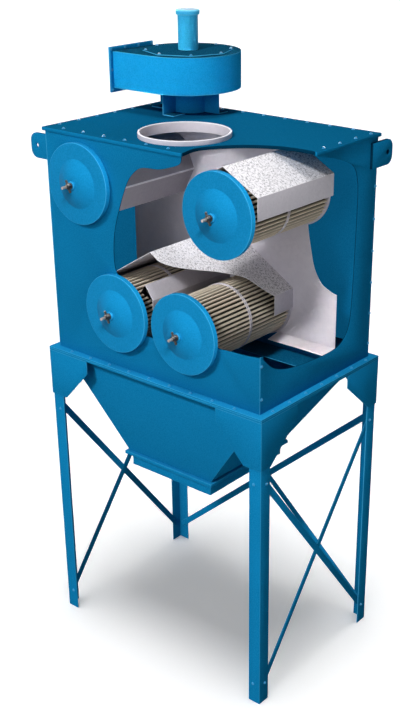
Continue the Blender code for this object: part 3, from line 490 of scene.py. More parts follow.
def rounded(points, radius, steps=4):
    # the same profile with its corners turned into short arcs; radius may be one per point
    made = []
    last = len(points) - 1
    for place, point in enumerate(points):
        reach = radius[place] if isinstance(radius, (list, tuple)) else radius
        here = Vector(point)
        before = Vector(points[place - 1]) - here
        after = Vector(points[(place + 1) % (last + 1)]) - here
        reach = min(reach, before.length * 0.48, after.length * 0.48)
        if reach < 0.00005:
            made.append(tuple(here))
            continue
        start = here + before.normalized() * reach
        end = here + after.normalized() * reach
        for step in range(steps + 1):
            t = step / steps
            made.append(tuple(start * (1 - t) ** 2 + here * 2 * t * (1 - t) + end * t ** 2))
    return made


def joined(name, items):
    shape = bmesh.new()
    for item in items:
        shape.from_mesh(item.data)
        bpy.data.objects.remove(item, do_unlink=True)
    return fromShape(name, shape)


def box(name, lowest, highest, turn=None):
    shape = bmesh.new()
    bmesh.ops.create_cube(shape, size=1.0)
    size = [b - a for a, b in zip(lowest, highest)]
    bmesh.ops.scale(shape, vec=size, verts=shape.verts)
    centre = [(a + b) / 2 for a, b in zip(lowest, highest)]
    bmesh.ops.translate(shape, vec=centre, verts=shape.verts)
    bmesh.ops.bevel(shape, geom=shape.edges[:], offset=0.0012, segments=2, profile=0.5,
                    affect="EDGES", clamp_overlap=True)
    if turn is not None:
        bmesh.ops.transform(shape, matrix=turn, verts=shape.verts)
    return fromShape(name, shape)


# Geometry Nodes: bolts stand on points that carry the way they face
class Growth(Sheet):
    def __init__(self, name):
        super().__init__(bpy.data.node_groups.new(name, "GeometryNodeTree"))
        self.entry = self.tree.nodes.new("NodeGroupInput")
        self.tree.interface.new_socket("Geometry", in_out="INPUT",
                                       socket_type="NodeSocketGeometry")
        self.tree.interface.new_socket("Geometry", in_out="OUTPUT",
                                       socket_type="NodeSocketGeometry")

    def given(self, name, kind, value):
        made = self.tree.interface.new_socket(name, in_out="INPUT", socket_type=kind)
        made.default_value = value
        return Wire(self, self.entry.outputs[name])

    def geometry(self):
        return Wire(self, self.entry.outputs["Geometry"])

    def end(self, geometry, material):
        whole = self.node("GeometryNodeRealizeInstances", None, {"Geometry": geometry})
        coated = self.node("GeometryNodeSetMaterial", None,
                           {"Geometry": whole, "Material": material})
        leave = self.tree.nodes.new("NodeGroupOutput")
        self.feed(leave.inputs["Geometry"], coated)
        return self.tree

    def grow(self, item, **values):
        # an input is set by its identifier, before the object is first evaluated
        change = item.modifiers.new(self.tree.name, "NODES")
        change.node_group = self.tree
        for socket in self.tree.interface.items_tree:
            if socket.in_out == "INPUT" and socket.name in values:
                change[socket.identifier] = values[socket.name]
        return settled(item)


bolts = {
    "head": 0.0068,
    "headHigh": 0.0054,
    "washer": 0.0095,
    "washerHigh": 0.0016,
}


def boltTree():
    grow = Growth("bolts")
    head = grow.given("head", "NodeSocketFloat", bolts["head"])
    headHigh = grow.given("headHigh", "NodeSocketFloat", bolts["headHigh"])
    washer = grow.given("washer", "NodeSocketFloat", bolts["washer"])
    washerHigh = grow.given("washerHigh", "NodeSocketFloat", bolts["washerHigh"])

    def drum(vertices, top, bottom, deep, lift):
        cone = grow.node("GeometryNodeMeshCone", None, {
            "Vertices": vertices, "Radius Top": top, "Radius Bottom": bottom, "Depth": deep})
        rise = grow.node("ShaderNodeCombineXYZ", None, {2: lift})
        return grow.node("GeometryNodeTransform", None, {"Geometry": cone, "Translation": rise})

    plate = drum(16, washer * 0.94, washer, washerHigh, 0.0)
    body = drum(6, head, head, headHigh * 0.7, washerHigh)
    crown = drum(6, head * 0.72, head, headHigh * 0.3, washerHigh + headHigh * 0.7)
    whole = grow.node("GeometryNodeJoinGeometry", None, {0: [plate, body, crown]})
    facing = grow.node("GeometryNodeInputNamedAttribute", {"data_type": "FLOAT_VECTOR"},
                       {"Name": "facing"})
    turn = grow.node("FunctionNodeAlignRotationToVector", {"axis": "Z"}, {"Vector": facing})
    spin = grow.node("FunctionNodeRandomValue", {"data_type": "FLOAT"},
                     {"Min": 0.0, "Max": 1.05, "Seed": 7}, 1)
    roll = grow.node("FunctionNodeAxisAngleToRotation", None, {"Axis": (0, 0, 1), "Angle": spin})
    turn = grow.node("FunctionNodeRotateRotation", {"rotation_space": "LOCAL"},
                     {"Rotation": turn, "Rotate By": roll})
    placed = grow.node("GeometryNodeInstanceOnPoints", None, {
        "Points": grow.geometry(), "Instance": whole, "Rotation": turn})
    grow.end(placed, boltLook)
    return grow


boltGrowth = boltTree()


def bolted(name, spots):
    # spots are (place, facing) pairs
    mesh = bpy.data.meshes.new(name)
    mesh.from_pydata([tuple(place) for place, facing in spots], [], [])
    ways = mesh.attributes.new("facing", "FLOAT_VECTOR", "POINT")
    for entry, (place, facing) in zip(ways.data, spots):
        entry.vector = facing
    item = boltGrowth.grow(newObject(name, mesh))
    shadeByAngle(item, 25)
    return ready(item, "root", "blue_paint")


def row(start, end, count, facing):
    start, end = Vector(start), Vector(end)
    return [(start.lerp(end, step / (count - 1)), facing) for step in range(count)]


# stand, hopper and cabinet sheets keep the frame's shape, with their edges broken
plainSheets = [
    "leg_front_left", "leg_front_right", "leg_rear_left", "leg_rear_right",
    "gusset_front_left", "gusset_front_right", "gusset_rear_left", "gusset_rear_right",
    "brace_left", "brace_right", "brace_rear", "hopper", "hopper_spout",
    "front_panel", "back_panel", "left_panel", "right_panel", "plenum_floor",
]
sheets = {node: softened(node) for node in plainSheets}
markCut(softened("top_panel", material=roofPaint), "z")
markCut(sheets["front_panel"], "y")
markCut(sheets["right_panel"], "x")
for node in ("fan_outlet_flange", "fan_cover_plate"):
    softened(node, material=fanPaint)
for node in ("stand_ring", "cabinet_base", "hopper_flange"):
    softened(node, material=ledgePaint)
sheets["tube_sheet"] = softened("tube_sheet", 0.0012, paleZinc)
hoodEdge = 0.0009
for node in ("upper_right_hood", "lower_hood"):
    softened(node, hoodEdge)
softened("upper_left_hood", hoodEdge, dullZinc)
softened("inner_baffle", hoodEdge, plainZinc)
print("sheets softened")


# covers, knobs, rods
cover = {
    "ringWidth": 0.088,
    "domeHigh": 0.033,
    "bossHigh": 0.012,
    "hub": 0.023,
    "bore": 0.010,
    "sheet": 0.003,
    "rimRound": 0.003,
}


def coverDisc(name):
    node = "cover_" + name
    centre = middle(node)
    radius = halfWidth(node)
    back, tip = high(node, "y"), low(node, "y")
    bossTop, tip = tip, tip + cover["bossHigh"]
    face = tip + cover["domeHigh"]
    sheet, bore, hub = cover["sheet"], cover["bore"], cover["hub"]
    foot = radius - cover["ringWidth"]
    dome = []
    for step in range(1, 14):
        bend = math.pi / 2 * step / 14
        dome.append((hub + (foot - hub) * step / 14, face + (tip - face) * math.cos(bend)))
    outer = [(bore, bossTop), (hub, bossTop), (hub, tip)] + dome
    outer += [(foot, face), (radius, face), (radius, back)]
    under = [(max(bore, spot - sheet / 2), y + sheet) for spot, y in dome[::-1]]
    inner = [(radius - sheet, back), (radius - sheet, face + sheet),
             (foot - sheet / 2, face + sheet)] + under + [(bore, tip + sheet)]
    rounds = [0.001, 0.003, 0.002] + [0.0] * 13
    rounds += [0.002, cover["rimRound"], 0.0008, 0.0008, 0.003, 0.002] + [0.0] * 14
    item = lathe("cover_disc_" + name, rounded(outer + inner, rounds, 5),
                 (centre.x, 0, centre.z), "y", 128)
    shadeByAngle(item, 50)
    return ready(item, bodyOf[node], "blue_paint", coverPaint, [node])


gasket = {"width": 0.0177, "round": 0.003}


def gasketRing(name):
    node = "cover_gasket_" + name
    centre = middle(node)
    outer = halfWidth(node)
    front, back = low(node, "y"), high(node, "y")
    inner = outer - gasket["width"]
    profile = rounded([(inner, front), (outer, front), (outer, back), (inner, back)],
                      gasket["round"])
    item = lathe("gasket_ring_" + name, profile, (centre.x, 0, centre.z), "y", 96)
    shadeByAngle(item)
    return ready(item, bodyOf[node], "black_rubber", None, [node])


knob = {
    "armThick": 0.0080,
    "span": 0.074,
    "lean": 25,
    "hub": 0.0145,
    "bore": 0.0092,
    "washer": 0.004,
    "washerLip": 0.0025,
}


def knobCasting(name):
    node = "cover_knob_" + name
    centre = middle("cover_" + name)
    front, back = low(node, "y"), high(node, "y")
    long = back - front
    bore, hub, seat = knob["bore"], knob["hub"], back - knob["washer"]
    lip = hub + knob["washerLip"]
    profile = rounded([(bore, front), (hub * 0.74, front), (hub * 0.88, front + long * 0.18),
                       (hub, front + long * 0.34), (hub * 0.94, seat), (lip, seat),
                       (lip, back), (bore, back)],
                      [0.001, 0.003, 0.004, 0.006, 0.002, 0.001, 0.0006, 0.0004], 3)
    body = lathe("hub", profile, (centre.x, 0, centre.z), "y", 40)
    waist = back - long * 0.47
    lean = math.radians(knob["lean"])
    way = Vector((-math.sin(lean), 0, math.cos(lean)))
    shape = bmesh.new()
    for side in (-1, 1):
        rings = []
        reach = knob["span"] / 2
        for share, width in [(0.34, 1.15), (0.48, 1.0), (0.66, 0.88), (0.82, 0.94), (0.93, 0.84),
                             (0.985, 0.56), (1.0, 0.14)]:
            spot = Vector((centre.x, waist, centre.z)) + way * side * reach * share
            sizeOfRing = knob["armThick"] * width
            across = way.cross(Vector((0, 1, 0)))
            ring = []
            for step in range(14):
                angle = 2 * math.pi * step / 14
                ring.append(shape.verts.new(
                    spot + across * math.cos(angle) * sizeOfRing * 0.86
                    + Vector((0, 1, 0)) * math.sin(angle) * sizeOfRing))
            rings.append(ring)
        for first, second in zip(rings, rings[1:]):
            for step in range(14):
                after = (step + 1) % 14
                shape.faces.new((first[step], first[after], second[after], second[step]))
        shape.faces.new(rings[0])
        shape.faces.new(rings[-1])
    bmesh.ops.recalc_face_normals(shape, faces=shape.faces)
    arms = fromShape("arms", shape)
    item = joined("knob_casting_" + name, [body, arms])
    shadeByAngle(item, 45)
    return ready(item, bodyOf[node], "dark_casting", None, [node])


rod = {
    "radius": 0.008,
    "thread": 0.0008,
    "pitch": 0.004,
    "threadLong": 0.118,
    "barWidth": 0.034,
    "barThick": 0.008,
    "nutRadius": 0.016,
    "nutHigh": 0.016,
    "nutBore": 0.0075,
}


def threadTree():
    # a grid wrapped round the rod; its radius rises and falls along a helix
    grow = Growth("thread")
    radius = grow.given("radius", "NodeSocketFloat", rod["radius"])
    thread = grow.given("thread", "NodeSocketFloat", rod["thread"])
    pitch = grow.given("pitch", "NodeSocketFloat", rod["pitch"])
    long = grow.given("long", "NodeSocketFloat", rod["threadLong"])
    turns = grow.maths("DIVIDE", long, pitch)
    rows = grow.maths("ROUND", turns * 4.0)
    around = 20
    grid = grow.node("GeometryNodeMeshGrid", None, {
        "Size X": 1.0, "Size Y": 1.0, "Vertices X": around + 1, "Vertices Y": rows})
    apart = grow.node("ShaderNodeSeparateXYZ", None, {0: grow.node("GeometryNodeInputPosition")})
    across, along = apart + 0.5, apart.out("Y") + 0.5
    angle = across * (2 * math.pi)
    wave = grow.maths("PINGPONG", along * turns + across, 0.5)
    runOut = grow.maths("MINIMUM", (1.0 - along) * 30.0, along * 30.0)
    runOut = grow.maths("MINIMUM", runOut, 1.0)
    reach = radius - thread * (1.0 - wave * 2.0) * runOut - (1.0 - runOut) * thread
    spot = grow.node("ShaderNodeCombineXYZ", None, {
        0: reach * grow.maths("COSINE", angle), 1: along * long,
        2: reach * grow.maths("SINE", angle)})
    moved = grow.node("GeometryNodeSetPosition", None, {"Geometry": grid, "Position": spot})
    welded = grow.node("GeometryNodeMergeByDistance", None,
                       {"Geometry": moved, "Distance": 0.00001})
    grow.end(welded, looks["bright_steel"])
    return grow


threadGrowth = threadTree()


def yokeRod(name):
    node = "yoke_rod_" + name
    centre = middle("cover_" + name)
    front, back = low(node, "y"), high(node, "y")
    lowZ, highZ = low(node, "z"), high(node, "z")
    radius = rod["radius"]
    start = front + rod["threadLong"]
    stub = threadGrowth.grow(newObject("thread", bpy.data.meshes.new("thread")),
                             long=rod["threadLong"])
    shape = bmesh.new()
    shape.from_mesh(stub.data)
    edges = [edge for edge in shape.edges if edge.is_boundary]
    bmesh.ops.holes_fill(shape, edges=edges, sides=64)
    bmesh.ops.recalc_face_normals(shape, faces=shape.faces)
    bmesh.ops.translate(shape, vec=(centre.x, front, centre.z), verts=shape.verts)
    shape.to_mesh(stub.data)
    shape.free()
    plain = rounded([(0.0001, start - 0.002), (radius, start - 0.002), (radius, back - 0.001),
                     (0.0001, back - 0.001)], 0.001, 2)
    shank = lathe("shank", plain, (centre.x, 0, centre.z), "y", 24)
    half = rod["barWidth"] / 2
    barFace = back - rod["barThick"]
    bar = box("bar", (centre.x - half, barFace, lowZ), (centre.x + half, back, highZ))
    nutBack, nutFront = barFace + 0.0002, barFace - rod["nutHigh"]
    nutFace = rounded([(rod["nutBore"], nutFront), (rod["nutRadius"], nutFront),
                       (rod["nutRadius"], nutBack), (rod["nutBore"], nutBack)], 0.0015, 2)
    nut = lathe("nut", nutFace, (centre.x, 0, centre.z), "y", 6)
    item = joined("yoke_rod_steel_" + name, [stub, shank, bar, nut])
    shadeByAngle(item, 40)
    return ready(item, bodyOf[node], "bright_steel", None, [node])


discs = [coverDisc(name) for name in stations]
for name in stations:
    gasketRing(name)
    knobCasting(name)
    yokeRod(name)
print("covers, knobs and rods made")


# cartridges
cartridge = {
    "pleats": 48,
    "pleatDeep": 0.034,
    "capThick": 0.014,
    "capLip": 0.010,
    "capBore": 0.0102,
    "mediumDeep": 0.058,
    "coreWall": 0.003,
    "bandAt": 0.50,
    "bead": 0.0030,
    "beadGap": 0.0130,
}


def pleatTree():
    # a grid wrapped round the axis: crests and folds take turns, and the last rows close the ring
    grow = Growth("pleats")
    crest = grow.given("crest", "NodeSocketFloat", 0.188)
    fold = grow.given("fold", "NodeSocketFloat", 0.150)
    core = grow.given("core", "NodeSocketFloat", 0.131)
    long = grow.given("long", "NodeSocketFloat", 0.67)
    pleats = grow.given("pleats", "NodeSocketInt", cartridge["pleats"])
    columns = pleats * 12.0 + 1.0
    grid = grow.node("GeometryNodeMeshGrid", None, {
        "Size X": 1.0, "Size Y": 1.0, "Vertices X": columns, "Vertices Y": 9})
    apart = grow.node("ShaderNodeSeparateXYZ", None, {0: grow.node("GeometryNodeInputPosition")})
    across, along = apart + 0.5, apart.out("Y") + 0.5
    angle = across * (2 * math.pi)
    saw = grow.maths("PINGPONG", across * pleats, 0.5) * 2.0
    wall = grow.maths("MINIMUM", grow.maths("MAXIMUM", (saw - 0.22) * 2.6, 0.0), 1.0)
    wave = wall * wall * (3.0 - wall * 2.0)
    outside = grow.maths("COMPARE", along, 0.5, 0.40)
    pleated = fold + (crest - fold) * wave
    reach = core + (pleated - core) * outside
    travel = grow.node("ShaderNodeMapRange", {"interpolation_type": "LINEAR"}, {
        "Value": along, "From Min": 0.125, "From Max": 0.875})
    spot = grow.node("ShaderNodeCombineXYZ", None, {
        0: reach * grow.maths("COSINE", angle), 1: travel * long,
        2: reach * grow.maths("SINE", angle)})
    marked = grow.node("GeometryNodeStoreNamedAttribute", {"data_type": "FLOAT"}, {
        "Geometry": grid, "Name": "fold", "Value": wave * outside})
    moved = grow.node("GeometryNodeSetPosition", None, {"Geometry": marked, "Position": spot})
    grow.end(moved, looks["filter_medium"])
    return grow


pleatGrowth = pleatTree()


def pleatedMedium(name):
    node = "filter_medium_" + name
    centre = middle(node)
    front, back = low(node, "y"), high(node, "y")
    crest = halfWidth(node)
    item = pleatGrowth.grow(newObject("pleats_" + name, bpy.data.meshes.new("pleats")),
                            crest=crest, fold=crest - cartridge["pleatDeep"], long=back - front)
    shape = bmesh.new()
    shape.from_mesh(item.data)
    bmesh.ops.remove_doubles(shape, verts=shape.verts, dist=0.00001)
    openEdges = [edge for edge in shape.edges if edge.is_boundary]
    bmesh.ops.bridge_loops(shape, edges=openEdges)
    bmesh.ops.recalc_face_normals(shape, faces=shape.faces)
    bmesh.ops.translate(shape, vec=(centre.x, front, centre.z), verts=shape.verts)
    shape.to_mesh(item.data)
    shape.free()
    item.data.materials.clear()
    shadeByAngle(item, 60)
    return ready(item, bodyOf[node], "filter_medium", None, [node], False)


def filterCage(name):
    node = "filter_cage_" + name
    centre = middle(node)
    front, back = low(node, "y"), high(node, "y")
    cap = halfWidth(node)
    medium = cap - cartridge["capLip"]
    core = medium - cartridge["mediumDeep"]
    inner = core - cartridge["coreWall"]
    thick, bore = cartridge["capThick"], cartridge["capBore"]
    profile = [(bore, front), (cap, front), (cap, front + thick), (core, front + thick),
               (core, back - thick), (cap, back - thick), (cap, back), (inner, back),
               (inner, front + thick), (bore, front + thick)]
    rounds = [0.0008, 0.004, 0.003, 0.0005, 0.0005, 0.003, 0.004, 0.002, 0.0005, 0.0008]
    shell = lathe("shell", rounded(profile, rounds, 3), (centre.x, 0, centre.z), "y", 96)
    bandY = front + (back - front) * cartridge["bandAt"]
    rings = [shell]
    bead, gap = cartridge["bead"], cartridge["beadGap"]
    for side in (-1, 1):
        y = bandY + side * gap / 2
        ring = [(medium - 0.002, y - bead), (medium + bead * 0.5, y - bead * 0.8),
                (medium + bead, y), (medium + bead * 0.5, y + bead * 0.8),
                (medium - 0.002, y + bead)]
        rings.append(lathe("bead", ring, (centre.x, 0, centre.z), "y", 96))
    item = joined("cartridge_frame_" + name, rings)
    shadeByAngle(item, 40)
    return ready(item, bodyOf[node], "galvanised_sheet", plainZinc, [node], False)


for name in stations:
    pleatedMedium(name)
    filterCage(name)
print("cartridges made")


# inlet, fan
inlet = {"wall": 0.011, "round": 0.003, "rise": 0.026}


def inletRing():
    node = "inlet_collar"
    centre = middle(node)
    outer = halfWidth(node)
    top, bottom = high(node, "z"), low(node, "z")
    seat = top - inlet["rise"]
    inner = outer - inlet["wall"]
    spigot = outer - inlet["wall"] / 2 - 0.0003
    profile = [(inner, top), (outer, top), (outer, seat), (spigot, seat), (spigot, bottom),
               (inner, bottom)]
    rounds = [inlet["round"], inlet["round"], 0.001, 0.0005, 0.001, 0.002]
    item = lathe("inlet_ring", rounded(profile, rounds, 4), (centre.x, centre.y, 0), "z", 128)
    shadeByAngle(item, 45)
    return ready(item, "root", "galvanised_sheet", paleZinc, [node])


inletRing()

fan = {
    "sheet": 0.004,
    "edge": 0.0012,
    "service": 0.225,
    "neck": 0.120,
    "bracketReach": 0.228,
    "bracketFoot": 0.080,
    "plate": 0.006,
    "drum": 0.304,
    "duct": 0.312,
    "boltRing": 0.245,
    "flangeBolts": 0.012,
}
fanAxis = Vector((middle("motor_shaft").x, middle("motor_shaft").y, 0))


def planWall(inset, ductEnd):
    # the casing seen from above: a drum with a straight duct off its front side
    radius = fan["drum"] - inset
    lowY = fanAxis.y - radius
    highY = fanAxis.y - fan["drum"] + fan["duct"] - inset
    meet = math.pi - math.asin((highY - fanAxis.y) / radius)
    points = []
    count = 84
    for step in range(count + 1):
        angle = -math.pi / 2 + (meet + math.pi / 2) * step / count
        points.append((fanAxis.x + radius * math.cos(angle), fanAxis.y + radius * math.sin(angle)))
    return [(ductEnd, lowY)] + points + [(ductEnd, highY)]


def slab(name, loops, bottom, top, bevelWidth=0.0):
    # flat outline with holes, given a thickness
    curve = bpy.data.curves.new(name, "CURVE")
    curve.dimensions = "2D"
    curve.fill_mode = "BOTH"
    curve.extrude = (top - bottom) / 2
    for points in loops:
        line = curve.splines.new("POLY")
        line.points.add(len(points) - 1)
        line.use_cyclic_u = True
        for point, (x, y) in zip(line.points, points):
            point.co = (x, y, 0, 1)
    item = newObject(name, curve)
    graph = bpy.context.evaluated_depsgraph_get()
    mesh = bpy.data.meshes.new_from_object(item.evaluated_get(graph))
    bpy.data.objects.remove(item, do_unlink=True)
    shape = bmesh.new()
    shape.from_mesh(mesh)
    bmesh.ops.remove_doubles(shape, verts=shape.verts, dist=0.00001)
    bmesh.ops.dissolve_limit(shape, angle_limit=math.radians(0.2), verts=[], edges=shape.edges)
    bmesh.ops.translate(shape, vec=(0, 0, (top + bottom) / 2), verts=shape.verts)
    bmesh.ops.recalc_face_normals(shape, faces=shape.faces)
    if bevelWidth:
        sharp = [edge for edge in shape.edges
                 if edge.is_manifold and edge.calc_face_angle() > math.radians(50)]
        bmesh.ops.bevel(shape, geom=sharp, offset=bevelWidth, segments=2, profile=0.5,
                        affect="EDGES", clamp_overlap=True)
    return fromShape(name, shape)


def ringPoints(radius, count=96):
    return [(fanAxis.x + radius * math.cos(2 * math.pi * step / count),
             fanAxis.y + radius * math.sin(2 * math.pi * step / count)) for step in range(count)]


def fanCasing():
    node = "fan_housing"
    bottom, top = low(node, "z"), high(node, "z")
    ductEnd = low(node, "x")
    sheet = fan["sheet"]
    outer = planWall(0.0, ductEnd)
    inner = planWall(sheet, ductEnd)
    wall = slab("wall", [outer + inner[::-1]], bottom + sheet, top - sheet)
    service, intake = ringPoints(fan["service"]), ringPoints(fan["neck"] - sheet)
    roof = slab("roof", [outer, service], top - sheet, top, fan["edge"])
    floor = slab("floor", [outer, intake], bottom, bottom + sheet, fan["edge"])
    item = joined("fan_casing", [wall, roof, floor])
    shadeByAngle(item, 30)
    return ready(item, "root", "blue_paint", fanPaint, [node])


def fanNeck():
    node = "fan_stand"
    bottom, top = low(node, "z"), high(node, "z")
    sheet, neck, plate = fan["sheet"], fan["neck"], fan["plate"]
    tube = lathe("tube", rounded([(neck - sheet, top), (neck, top), (neck, bottom),
                                  (neck - sheet, bottom)], 0.0008, 2),
                 (fanAxis.x, fanAxis.y, 0), "z", 96)
    parts = [tube]
    for quarter in range(4):
        turn = Matrix.Translation(fanAxis) @ Matrix.Rotation(quarter * math.pi / 2, 4, "Z")
        parts.append(box("web", (neck - sheet / 2, -plate / 2, bottom + 0.001),
                         (fan["bracketReach"], plate / 2, top - 0.001), turn))
        parts.append(box("foot", (neck + plate, 0, bottom),
                         (fan["bracketReach"] - 0.001, fan["bracketFoot"], bottom + plate), turn))
    item = joined("fan_neck", parts)
    shadeByAngle(item, 40)
    return ready(item, "root", "blue_paint", fanPaint, [node])


motorSizes = {
    "capLip": 0.010,
    "capHigh": 0.028,
    "bore": 0.008,
    "seatBore": 0.0126,
    "seatHigh": 0.020,
    "wall": 0.006,
}


def motorShell():
    node = "motor_housing"
    bottom, top = low(node, "z"), high(node, "z")
    cap = halfWidth(node)
    body = cap - motorSizes["capLip"]
    capLow = top - motorSizes["capHigh"]
    bore, seatBore = motorSizes["bore"], motorSizes["seatBore"]
    inner = body - motorSizes["wall"]
    seat = bottom + motorSizes["seatHigh"]
    profile = [(bore, top), (cap, top), (cap, capLow), (body, capLow), (body, bottom),
               (seatBore, bottom), (seatBore, seat), (inner, seat), (inner, capLow),
               (bore, capLow)]
    rounds = [0.0, 0.009, 0.004, 0.002, 0.001, 0.0005, 0.0005, 0.002, 0.001, 0.0]
    item = lathe("motor_shell", rounded(profile, rounds, 5), (fanAxis.x, fanAxis.y, 0), "z", 96)
    shadeByAngle(item, 40)
    return ready(item, "root", "blue_paint", motorPaint, [node])


casing = fanCasing()
fanNeck()
motor = motorShell()
for node in ("fan_wheel", "motor_shaft"):
    for slot in frame["nodes"][node].material_slots:
        slot.link = "OBJECT"
        slot.material = looks["bright_steel"]
print("inlet and fan made")


# bolts: how far a row stands in from the sheet's edge, and its pitch
roofBolts = {
    "front": 0.039,
    "rear": 0.030,
    "left": 0.026,
    "right": 0.028,
    "pitch": 0.154,
    "sidePitch": 0.144,
}
shelfInset = 0.020
# these are measured from the middle of the stand, on the floor
panelBolts = {"front": -0.496, "rear": 0.498, "side": 0.742, "low": 1.916, "high": 2.840}
legBolts = {"x": 0.746, "y": 0.497, "low": 0.127, "high": 1.435}
stand = middle("stand_ring")


def at(x, y, z):
    # a place measured from the middle of the stand, on the floor
    return Vector((stand.x + x, stand.y + y, z))


def boltPlaces():
    up, front, back = (0, 0, 1), (0, -1, 0), (0, 1, 0)
    right, left = (1, 0, 0), (-1, 0, 0)
    places = []
    roof = high("top_panel", "z")
    x0, x1 = low("top_panel", "x"), high("top_panel", "x")
    y0, y1 = low("top_panel", "y"), high("top_panel", "y")
    pitch, sidePitch = roofBolts["pitch"], roofBolts["sidePitch"]
    frontY, rearY = y0 + roofBolts["front"], y1 - roofBolts["rear"]
    leftX, rightX = x0 + roofBolts["left"], x1 - roofBolts["right"]
    places += [((x0 + 0.133 + pitch * step, frontY, roof), up) for step in range(6)]
    places += [((x0 + 0.140 + pitch * step, rearY, roof), up) for step in range(9)]
    places += [((rightX, y1 - 0.064 - sidePitch * step, roof), up) for step in range(4)]
    places += [((leftX, y0 + 0.109 + sidePitch * step, roof), up) for step in range(6)]
    shelf = high("cabinet_base", "z")
    bx0, bx1 = low("cabinet_base", "x"), high("cabinet_base", "x")
    by0, by1 = low("cabinet_base", "y"), high("cabinet_base", "y")
    for y in (by0 + shelfInset, by1 - shelfInset):
        places += row((bx0 + 0.174, y, shelf), (bx1 - 0.196, y, shelf), 9, up)
    for x in (bx0 + shelfInset, bx1 - shelfInset):
        places += row((x, by0 + 0.121, shelf), (x, by1 - 0.106, shelf), 7, up)
    # edges of the side and rear panels
    wallX = high("front_panel", "x") - stand.x + 0.0043
    wallY = high("back_panel", "y") - stand.y
    for side, facing in ((1, right), (-1, left)):
        for z in (2.840, 2.655, 2.471, 2.286, 2.101, 1.916):
            places.append((at(side * wallX, panelBolts["rear"], z), facing))
            if side < 0 or z < 2.2:
                places.append((at(side * wallX, panelBolts["front"], z), facing))
    lowest, highest = panelBolts["low"], panelBolts["high"]
    for x in (-panelBolts["side"], panelBolts["side"]):
        places += row(at(x, wallY, lowest), at(x, wallY, highest), 6, back)
    # legs, where the braces end
    legX, legY = high("leg_front_right", "x") - stand.x, high("leg_rear_left", "y") - stand.y
    for z in (legBolts["high"], legBolts["low"]):
        for x in (-legBolts["x"], legBolts["x"]):
            places += [(at(x, -legY, z), front), (at(x, legY, z), back)]
        for y in (-legBolts["y"], legBolts["y"]):
            places += [(at(legX, y, z), right), (at(-legX, y, z), left)]
    return places


bolted("panel_bolts", boltPlaces())


def fanBolts():
    up = (0, 0, 1)
    top = high("fan_cover_plate", "z")
    places = []
    for step in range(8):
        angle = math.pi * step / 4
        places.append(((fanAxis.x + fan["boltRing"] * math.cos(angle),
                        fanAxis.y + fan["boltRing"] * math.sin(angle), top), up))
    # on the back of the outlet's flange
    flange = high("fan_outlet_flange", "x")
    inset = fan["flangeBolts"]
    lowY, highY = low("fan_outlet_flange", "y") + inset, high("fan_outlet_flange", "y") - inset
    lowZ, highZ = low("fan_outlet_flange", "z") + inset, high("fan_outlet_flange", "z") - inset
    for z in (lowZ, highZ):
        places += row((flange, lowY, z), (flange, highY, z), 4, (1, 0, 0))
    for y in (lowY, highY):
        places.append(((flange, y, (lowZ + highZ) / 2), (1, 0, 0)))
    return places


bolted("fan_bolts", fanBolts())
print("bolts placed")


# floor, light, camera
studio = {
    "floorSize": 80.0,
    "floorBounce": 0.36,
    "floorSeen": 1.0,
    "floorGlow": 0.24,
    "sky": 0.14,
    # level on a face turned to the lamp, softness, turn to the right of the front, height
    "key": (0.72, 8, 6, 42),
    "fill": (0.10, 20, 10, 14),
    "top": (0.44, 22, 30, 85),
    # the same for lamps that reach only some pieces
    "onFloor": (0.30, 25, 0, 88),
    "behind": (0.42, 20, 222, 6),
    "onFront": (0.50, 10, -35, 35),
    "onCovers": (1.00, 10, 50, 38),
    "onFan": (0.26, 20, 28, 20),
    "onLeftWall": (0.42, 20, 90, 8),
    "onBackWall": (0.38, 20, 10, 20),
    "onTubeSheet": (0.07, 20, 10, 20),
    # the front panel's own lamp: place from the middle of the stand, size, power
    "nearFront": ((-0.50, -1.60, 3.20), 0.3, 10.0),
}


def seenDirectly(sheet):
    # 1 for what the camera sees, straight on or in a gloss or glass, 0 for light on the object
    path = sheet.node("ShaderNodeLightPath")
    seen = path.out("Is Camera Ray") + path.out("Is Glossy Ray") + path.out("Is Transmission Ray")
    return sheet.maths("MINIMUM", seen, 1.0)


def grey(level):
    return (level, level, level, 1.0)


def whiteFloor():
    shape = bmesh.new()
    bmesh.ops.create_grid(shape, x_segments=2, y_segments=2, size=studio["floorSize"] / 2)
    floor = fromShape("floor", shape)
    look = Finish("floorWhite", Roughness=1.0)
    look.shader.inputs["Specular IOR Level"].default_value = 0.0
    look.shader.inputs["Emission Strength"].default_value = 1.0
    seen = seenDirectly(look)
    look.set("Base Color", look.mix(seen, grey(studio["floorBounce"]), grey(studio["floorSeen"])))
    look.set("Emission Color", look.mix(seen, grey(0.0), grey(studio["floorGlow"])))
    floor.data.materials.append(look.material)
    return floor


def lamp(name):
    level, soft, turn, height = studio[name]
    data = bpy.data.lights.new(name, "SUN")
    data.angle = math.radians(soft)
    data.energy = level * math.pi
    item = newObject(name, data)
    item.location = (0, 0, 6)
    item.rotation_euler = (math.radians(90 - height), 0, math.radians(turn))
    return item


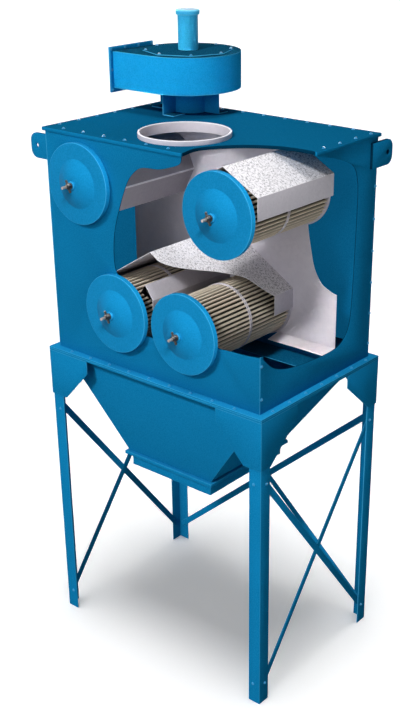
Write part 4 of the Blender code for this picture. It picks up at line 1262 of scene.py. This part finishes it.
def surroundings():
    world = bpy.data.worlds.new("studio")
    scene.world = world
    world.use_nodes = True
    sheet = Sheet(world.node_tree)
    seen = sheet.mix(seenDirectly(sheet), grey(studio["sky"]), grey(1.0))
    sheet.feed(world.node_tree.nodes["Background"].inputs["Color"], seen)


floor = whiteFloor()
surroundings()
for name in ("key", "fill", "top", "behind"):
    lamp(name)


def reserve(name, items, state):
    # light linking: the lamp reaches only these items, or leaves them out
    receivers = bpy.data.collections.new(name + " receivers")
    for item in items:
        receivers.objects.link(item)
    item = bpy.data.objects[name]
    item.light_linking.receiver_collection = receivers
    for entry in receivers.collection_objects:
        entry.light_linking.link_state = state


# the key lamp leaves out the floor, whose shadow would be long, and what has its own lamp
reserve("key", [floor, sheets["front_panel"]] + discs, "EXCLUDE")
reserve("behind", [floor], "EXCLUDE")
reach = {
    "onFloor": [floor],
    "onFront": [sheets["front_panel"]],
    "onCovers": discs,
    "onFan": [casing, motor],
    "onLeftWall": [sheets["left_panel"]],
    "onBackWall": [sheets["back_panel"]],
    "onTubeSheet": [sheets["tube_sheet"]],
}
for name, items in reach.items():
    data = lamp(name).data
    # a lamp on an inside wall crosses the panels before it, and tints nothing beside the wall
    if name in ("onLeftWall", "onBackWall", "onTubeSheet"):
        data.use_shadow = False
        data.cycles.max_bounces = 0
    reserve(name, items, "INCLUDE")
spot, soft, power = studio["nearFront"]
near = newObject("nearFront", bpy.data.lights.new("nearFront", "POINT"))
near.location = at(*spot)
near.data.energy = power
near.data.shadow_soft_size = soft
reserve("nearFront", [sheets["front_panel"]], "INCLUDE")
# the camera's place is measured from the middle of the stand
view = {
    "place": (4.0725, -4.7367, 4.4383),
    "turn": 38.971,
    "dip": 23.872,
    "lens": 57.93,
    "shift": (-0.0618, 0.0238),
}
camera = newObject("camera", bpy.data.cameras.new("camera"))
camera.location = at(*view["place"])
camera.rotation_euler = (math.radians(90 - view["dip"]), 0, math.radians(view["turn"]))
camera.data.sensor_width = 36
camera.data.lens = view["lens"]
camera.data.shift_x, camera.data.shift_y = view["shift"]
camera.data.clip_end = 200
scene.camera = camera
scene.view_settings.view_transform = "Standard"
print("studio set")
